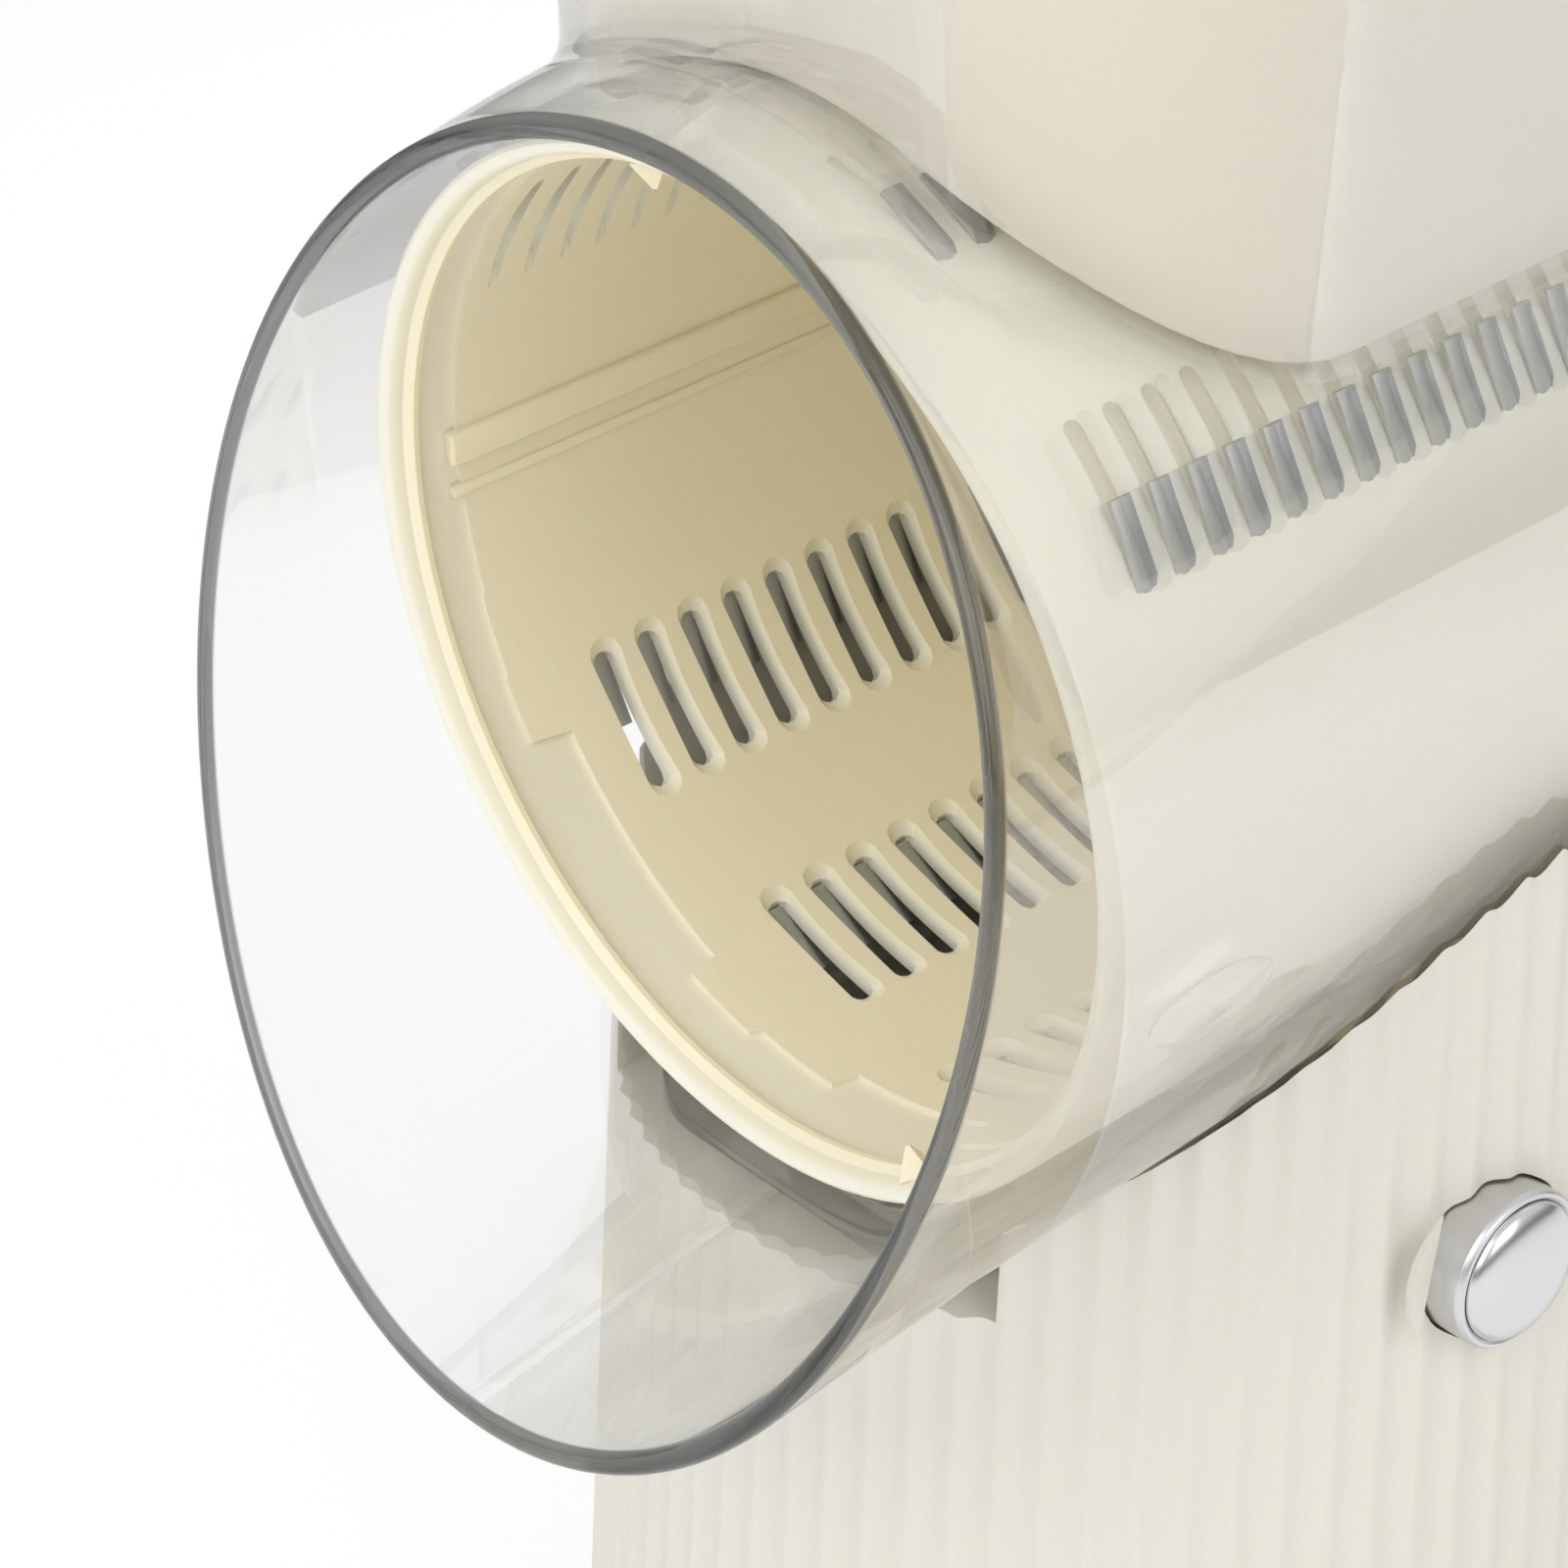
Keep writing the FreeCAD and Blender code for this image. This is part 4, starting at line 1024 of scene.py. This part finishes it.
@dataclass
class Drum:
    """Slotted drum: rounded lip, stepped recess behind it, flared slots and long ribs inside."""

    station: Station
    radius: float = 43.0
    inner: float = 41.0
    row_start: float = 26.0
    row_step: float = 36.0
    slot_start: float = 0.5
    slot_end: float = 17.6
    slot_half: float = 0.775
    wide_half: float = 1.15
    recess: float = 0.5
    close_slots: int = 20
    close_first: float = 9.1
    close_pitch: float = 3.61
    close_mouth: float = 0.4
    wide_slots: int = 13
    wide_first: float = 16.1
    wide_pitch: float = 4.75
    wide_stagger: float = 2.4
    wide_mouth: float = 1.6
    ribs: tuple[tuple[float, float, float], ...] = (
        (175.0, 3.0, 0.7), (180.6, 0.9, 0.3), (-5.0, 3.0, 0.7), (0.6, 0.9, 0.3))
    detents: tuple[float, ...] = (96.0, -65.0)
    steps: tuple[tuple[float, float], ...] = (
        (-180.0, 6.9), (-166.0, 6.6), (-155.7, 6.3), (-147.1, 10.2), (-114.3, 7.4), (-103.0, 8.4),
        (-90.0, 10.8), (-66.0, 7.2), (-30.0, 10.2), (10.0, 6.8), (60.0, 8.2), (110.0, 6.6))

    def rows(self) -> list[tuple[float, list[float], float, float]]:
        """Each row's turn, the places of its slots and their half-widths inside and outside."""
        found = []
        for number in range(4):
            turn = self.row_start + self.row_step * number
            close = [self.close_first + self.close_pitch * slot for slot in range(self.close_slots)]
            found.append((turn, close, self.close_mouth, self.slot_half))
            start = self.wide_first + self.wide_stagger * (number % 2)
            wide = [start + self.wide_pitch * slot for slot in range(self.wide_slots)]
            found.append((turn + 180, wide, self.wide_mouth, self.wide_half))
        return found

    def slot(self, turn: float, middle: float, mouth: float,
             half_out: float) -> tuple[list[Vector], list[tuple[int, ...]]]:
        """One slot's cutter: a round-ended hole whose inner mouth differs in width."""
        levels = ((39.4, mouth, 1.6), (41.0, mouth, 1.4), (41.75, half_out, 0.1), (45.0, half_out, 0.0))
        points, faces = [], []
        arc = 5
        for radius, half, more in levels:
            low = turn + self.slot_start - math.degrees(more / self.radius)
            high = turn + self.slot_end + math.degrees(more / self.radius)
            for end, base in ((high, 0.0), (low, 180.0)):
                for step in range(arc + 1):
                    lean = math.radians(base - 90 + 180 * step / arc)
                    bow = math.degrees(half * (math.cos(lean) - (1 if base == 0.0 else -1)) / self.radius)
                    points.append(self.station.round_axis(radius, middle + half * math.sin(lean),
                                                          math.radians(end + bow)))
        count = 2 * (arc + 1)
        for level in range(len(levels) - 1):
            for step in range(count):
                near, side = level * count + step, level * count + (step + 1) % count
                faces.append((near, side, side + count, near + count))
        faces.append(tuple(range(count)))
        faces.append(tuple(range(3 * count, 4 * count)))
        return points, faces

    def slots(self) -> bpy.types.Object:
        """Every slot's cutter as one object."""
        points, faces = [], []
        for turn, middles, mouth, half_out in self.rows():
            for middle in middles:
                more, sides = self.slot(turn, middle, mouth, half_out)
                faces += [tuple(index + len(points) for index in side) for side in sides]
                points += more
        return from_points("slots", points, faces)

    def recess_cutter(self) -> bpy.types.Object:
        """The shallow stepped recess between the lip's ring and the drum's inner wall."""
        turns = []
        for index, (start, back) in enumerate(self.steps):
            end = self.steps[index + 1][0] if index + 1 < len(self.steps) else 180.0
            count = max(2, round((end - start) / 2.5))
            turns += [(start + 0.35 + (end - start - 0.7) * step / (count - 1),
                       back) for step in range(count)]
        rings = []
        for radius, deep in ((39.5, False), (self.inner + self.recess, False),
                             (self.inner + self.recess, True),
                             (39.5, True)):
            rings.append([self.station.round_axis(radius, back if deep else 2.9, math.radians(turn))
                          for turn, back in turns])
        return grid_solid("recess", rings, wrap=True)

    def rib(self, turn: float, width: float, rise: float, start: float, end: float) -> bpy.types.Object:
        """A rounded rib along the drum's inner wall."""
        place = self.station.matrix @ Matrix.Rotation(math.radians(-turn), 4, "Y")
        return block("rib", (rise + 0.6, end - start, width),
                     (self.inner + 0.3 - rise / 2, (start + end) / 2, 0),
                     place, min(rise, width) * 0.45)

    def detent(self, turn: float) -> bpy.types.Object:
        """A small wedge that points inwards from the lip."""
        deselect()
        bpy.ops.mesh.primitive_cone_add(vertices=4, radius1=1.9 * MM, radius2=0.25 * MM, depth=2.4 * MM)
        piece = bpy.context.object
        place = self.station.matrix @ Matrix.Rotation(math.radians(-turn), 4, "Y")
        shift = Matrix.Translation(Vector((self.inner - 0.9, 2.4, 0)) * MM)
        piece.data.transform(place @ shift @ Matrix.Rotation(math.radians(-90), 4, "Y"))
        return piece

    def build(self) -> bpy.types.Object:
        """The whole drum."""
        outline = [(41.95, 0.12), (42.45, 0.0), (42.8, 0.18), (43.0, 0.7), (43.0, 30.0), (43.0, 87.2),
                   (42.75, 87.8),
                   (42.2, 88.0), (12.5, 88.0), (12.5, 91.3), (10.05, 91.3), (10.05, 79.1), (12.4, 79.1),
                   (12.5, 84.6), (13.0, 85.0), (39.8, 85.0), (40.7, 84.6), (41.0, 83.6), (41.0, 30.0), (41.0,
                                                                                                        3.3),
                   (40.9, 2.95), (40.62, 2.7), (40.62, 2.2), (40.95, 1.9), (41.3, 1.6), (41.45, 0.6)]
        piece = turned("drum_shell", outline, self.station.turning(), 180, closed=True)
        combine(piece, self.recess_cutter(), Cut.REMOVE)
        combine(piece, self.slots(), Cut.REMOVE)
        extras = [self.rib(turn, width, rise, 5.7, 84.0) for turn, width, rise in self.ribs]
        extras += [self.detent(turn) for turn in self.detents]
        return smooth(joined("drum_shell", [piece, *extras]), 38)


# ---------------------------------------------------------------- button


@dataclass
class Button:
    """Release button: a satin ring round a polished dome."""

    dome: float = 1.9

    def build(self) -> list[bpy.types.Object]:
        """The ring and the dome."""
        low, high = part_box("release_button")
        wide = (high.y - low.y) / 2 / MM
        long = (high.x - low.x) / MM
        middle = (low + high) / 2
        place = Matrix.Translation((low.x, middle.y, middle.z)) @ Matrix.Rotation(math.radians(90), 4, "Y")
        rim = long - self.dome
        ring = turned("button_ring",
                      [(wide, 0), (wide, rim - 0.5), (wide - 0.08, rim - 0.2), (wide - 0.25, rim),
                                      (wide - 0.55, rim + 0.06), (wide - 0.8, rim - 0.1), (wide - 0.85,
                                                                                           rim - 1)],
                      place, 96)
        face = [(wide - 0.86, rim - 0.9), (wide - 0.86, rim - 0.05)]
        for step in range(1, 9):
            share = math.radians(90 * step / 8)
            face.append(((wide - 0.86) * math.cos(share) + 0.05,
                         rim - 0.05 + (self.dome - 0.05) * math.sin(share)))
        dome = turned("button_dome", face, place, 96)
        return [smooth(ring, 35), smooth(dome, 45)]


# ---------------------------------------------------------------- plain pieces


@dataclass(frozen=True)
class Rounded:
    """A CAD node that is shown as a copy with rounded edges."""

    node: str
    piece: str
    edge: float
    body: str


ROUNDED = (
    Rounded("pusher_cap", "pusher_crown", 1.4, "pusher"),
    Rounded("crank_arm", "crank_web", 0.9, "rotor"),
    Rounded("crank_cap", "crank_disc", 0.25, "rotor"),
    Rounded("crank_knob", "knob_grip", 0.8, "knob"),
    Rounded("knob_cap", "knob_end", 0.4, "knob"),
    Rounded("rear_cover", "rear_plate", 0.5, "stand"),
    Rounded("suction_lever", "lever_handle", 1.4, "lever"),
    Rounded("lever_screw", "lever_bolt", 0.4, "lever"),
    Rounded("foot_pads", "foot_buttons", 0.8, "stand"),
    Rounded("base_plate", "base_moulding", 0.4, "stand"),
    *(Rounded(f"blade_row_{number}", f"tooth_strip_{number}", 0.2, "rotor") for number in range(1, 9)),
)


# ---------------------------------------------------------------- spring and suction cup


@dataclass
class Giving:
    """The button's spring and the suction cup, shown as copies of their CAD nodes."""

    travel: float = 3.0

    def spring(self, wardrobe: "Wardrobe") -> None:
        """The spring: a smoothed copy that rides on the button as a whole."""
        piece = smooth(moulding("spring_coil", "button_spring"), 50)
        wardrobe.stand_in(piece, "button_spring", "button")
        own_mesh(piece)

    def cup(self, wardrobe: "Wardrobe") -> None:
        """The cup: a copy with rounded edges that stays in place, on no body."""
        piece = softened("cup_rubber", "suction_cup", 0.5)
        wardrobe.dress(piece, "suction_cup")
        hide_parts("suction_cup")
        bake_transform(piece)
        LOG.info("%s stands for suction_cup: %d faces", piece.name, len(piece.data.polygons))


# ---------------------------------------------------------------- finishes


IVORY = Moulded("ivory", (0.675, 0.657, 0.575), (0.71, 0.69, 0.615), 0.42, 0.03, 0.05)
# the drum's second colour is painted shade for its inner wall
DRUM_IVORY_PAINTED_SHADE = DrummedWithPaintedShade("drum_ivory", (0.88, 0.86, 0.74), (0.93, 0.84, 0.60), 0.45,
                     (0.0, -0.064, 0.165), (0.0, 0.995227, 0.097583))
CREAM = Moulded("pusher_cream", (0.80, 0.755, 0.63), (0.83, 0.785, 0.67), 0.36, 0.02, 0.05)
BUSH = Moulded("bush", (0.78, 0.78, 0.76), (0.84, 0.84, 0.82), 0.4, 0.03)
# the clear plastic's dark grazing edges and lip are painted dark refraction
CLEAR = Clear("clear", (0.0, -0.0797, 0.1609), (0.0, -0.98027, 0.19766))
TOOTH = Metal("tooth_steel", (0.49, 0.50, 0.505), 0.36, (1, 0.15, 1), 0.06, 0.12)
SHAFT = Metal("shaft_steel", (0.56, 0.56, 0.57), 0.32, (0.3, 3, 0.3), 0.05)
CHROME = Metal("chrome", (0.66, 0.66, 0.68), 0.24, (1, 1, 1), 0.0, 0.03)
SATIN = Metal("satin_chrome", (0.66, 0.66, 0.67), 0.34, (0.2, 1, 1), 0.01, 0.08)
RUBBER = Rubber("rubber")
FINISHES = {"ivory": IVORY, "drum_ivory": DRUM_IVORY_PAINTED_SHADE, "pusher_cream": CREAM, "clear": CLEAR,
            "tooth_steel": TOOTH,
            "shaft_steel": SHAFT, "chrome": CHROME, "rubber": RUBBER, "bush": BUSH}


Finish = Moulded | DrummedWithPaintedShade | Metal | Rubber | Clear


class Wardrobe:
    """Hands out each finish's material, made once, by the record's slot."""

    def __init__(self, frame: dict) -> None:
        """Reads which slot each node has."""
        self.slots = {row["node"]: row["material_slot"] for row in frame["record"]["subparts"]}
        self.made: dict[str, bpy.types.Material] = {}

    def material(self, finish: "Finish") -> bpy.types.Material:
        """A finish's material."""
        if finish.name not in self.made:
            self.made[finish.name] = finish.make()
        return self.made[finish.name]

    def dress(self, piece: bpy.types.Object, node: str, finish: "Finish | None" = None) -> None:
        """Gives a piece the finish of a node's slot, or another one.

        Args:
            piece: the object to dress.
            node: the CAD node whose slot it takes.
            finish: a finish that differs from the slot's own.
        """
        slot = self.slots[node]
        piece.data.materials.clear()
        piece.data.materials.append(self.material(finish or FINISHES[slot]))

    def stand_in(self, piece: bpy.types.Object, node: str, body: str, finish: "Finish | None" = None) -> None:
        """Dresses a piece that stands for a node and rides on a body."""
        self.dress(piece, node, finish)
        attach(piece, body)
        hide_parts(node)
        LOG.info("%s stands for %s: %d faces", piece.name, node, len(piece.data.polygons))


# ---------------------------------------------------------------- studio


@dataclass
class Studio:
    """Pale floor, soft lights and the camera."""

    station: Station
    azimuth: float = 50.33
    height: float = 28.19
    lens: float = 98.31
    stand_off: Colour = (0.2237, -0.1784, 0.1452)

    def floor(self) -> None:
        """A wide pale floor."""
        deselect()
        bpy.ops.mesh.primitive_plane_add(size=12, location=(0, 0, -0.0002))
        floor = bpy.context.object
        floor.name = "floor"
        tree = Tree("floor", Roughness=0.9, Emission_Color=(1, 1, 1, 1), Emission_Strength=0.2)
        tree.drive("Base Color", tree.blend(tree.noise(3.0), (0.80, 0.80, 0.80), (0.82, 0.82, 0.82)))
        floor.data.materials.append(tree.material)

    def light(self, name: str, spot: tuple[float, float, float], size: float, power: float) -> None:
        """A square soft light that faces the drum's rim."""
        data = bpy.data.lights.new(name, "AREA")
        data.size = size
        data.energy = power
        lamp = bpy.data.objects.new(name, data)
        bpy.context.scene.collection.objects.link(lamp)
        lamp.location = self.station.rim + Vector(spot)
        lamp.rotation_euler = (-Vector(spot)).to_track_quat("-Z", "Y").to_euler()

    def sky(self) -> None:
        """An even sky, bright above and dim towards the horizon."""
        world = bpy.data.worlds.new("studio")
        world.use_nodes = True
        bpy.context.scene.world = world
        nodes, links = world.node_tree.nodes, world.node_tree.links
        place = nodes.new("ShaderNodeTexCoord")
        split = nodes.new("ShaderNodeSeparateXYZ")
        ramp = nodes.new("ShaderNodeValToRGB")
        links.new(place.outputs["Generated"], split.inputs[0])
        links.new(split.outputs["Z"], ramp.inputs[0])
        ramp.color_ramp.elements[0].position = 0.08
        ramp.color_ramp.elements[0].color = (0.16, 0.16, 0.17, 1)
        ramp.color_ramp.elements[1].position = 0.42
        ramp.color_ramp.elements[1].color = (1, 1, 1, 1)
        links.new(ramp.outputs[0], nodes["Background"].inputs["Color"])
        nodes["Background"].inputs["Strength"].default_value = 0.82

    def camera(self) -> None:
        """The camera."""
        data = bpy.data.cameras.new("camera")
        data.sensor_width = 36
        data.lens = self.lens
        data.clip_start = 0.01
        eye = bpy.data.objects.new("camera", data)
        bpy.context.scene.collection.objects.link(eye)
        eye.location = self.station.rim + Vector(self.stand_off)
        eye.rotation_euler = (math.radians(90 - self.height), 0, math.radians(self.azimuth))
        bpy.context.scene.camera = eye

    def build(self) -> None:
        """The whole studio."""
        self.floor()
        self.sky()
        self.light("key", (0.25, -0.95, 0.7), 0.9, 3.6)
        self.light("fill", (0.95, 0.0, 0.6), 0.8, 3.4)
        self.light("back", (-0.3, 0.9, 0.8), 0.8, 2.0)
        self.light("mouth", (-0.05, -0.4, 0.12), 0.2, 0.3)
        bpy.context.scene.view_settings.view_transform = "Standard"
        self.camera()


def main() -> None:
    """Builds the pieces in order and reports each."""
    logging.basicConfig(level=logging.INFO, format="%(message)s")
    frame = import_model()
    station = Station(frame)
    wardrobe = Wardrobe(frame)
    for name, node in frame["nodes"].items():
        wardrobe.dress(node, name)
    housing = Housing(station)
    wardrobe.stand_in(housing.build(), "drum_housing", "stand")
    wardrobe.stand_in(Pusher(station, housing).build(), "food_pusher", "pusher")
    wardrobe.stand_in(Column(station).build(), "pedestal_shell", "stand")
    wardrobe.stand_in(Drum(station).build(), "drum_frame", "rotor")
    ring, dome = Button().build()
    wardrobe.stand_in(ring, "release_button", "button", SATIN)
    wardrobe.dress(dome, "release_button", CHROME)
    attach(dome, "button")
    for plain in ROUNDED:
        wardrobe.stand_in(softened(plain.piece, plain.node, plain.edge), plain.node, plain.body)
    giving = Giving()
    giving.spring(wardrobe)
    giving.cup(wardrobe)
    Studio(station).build()


if __name__ == "__main__":
    main()
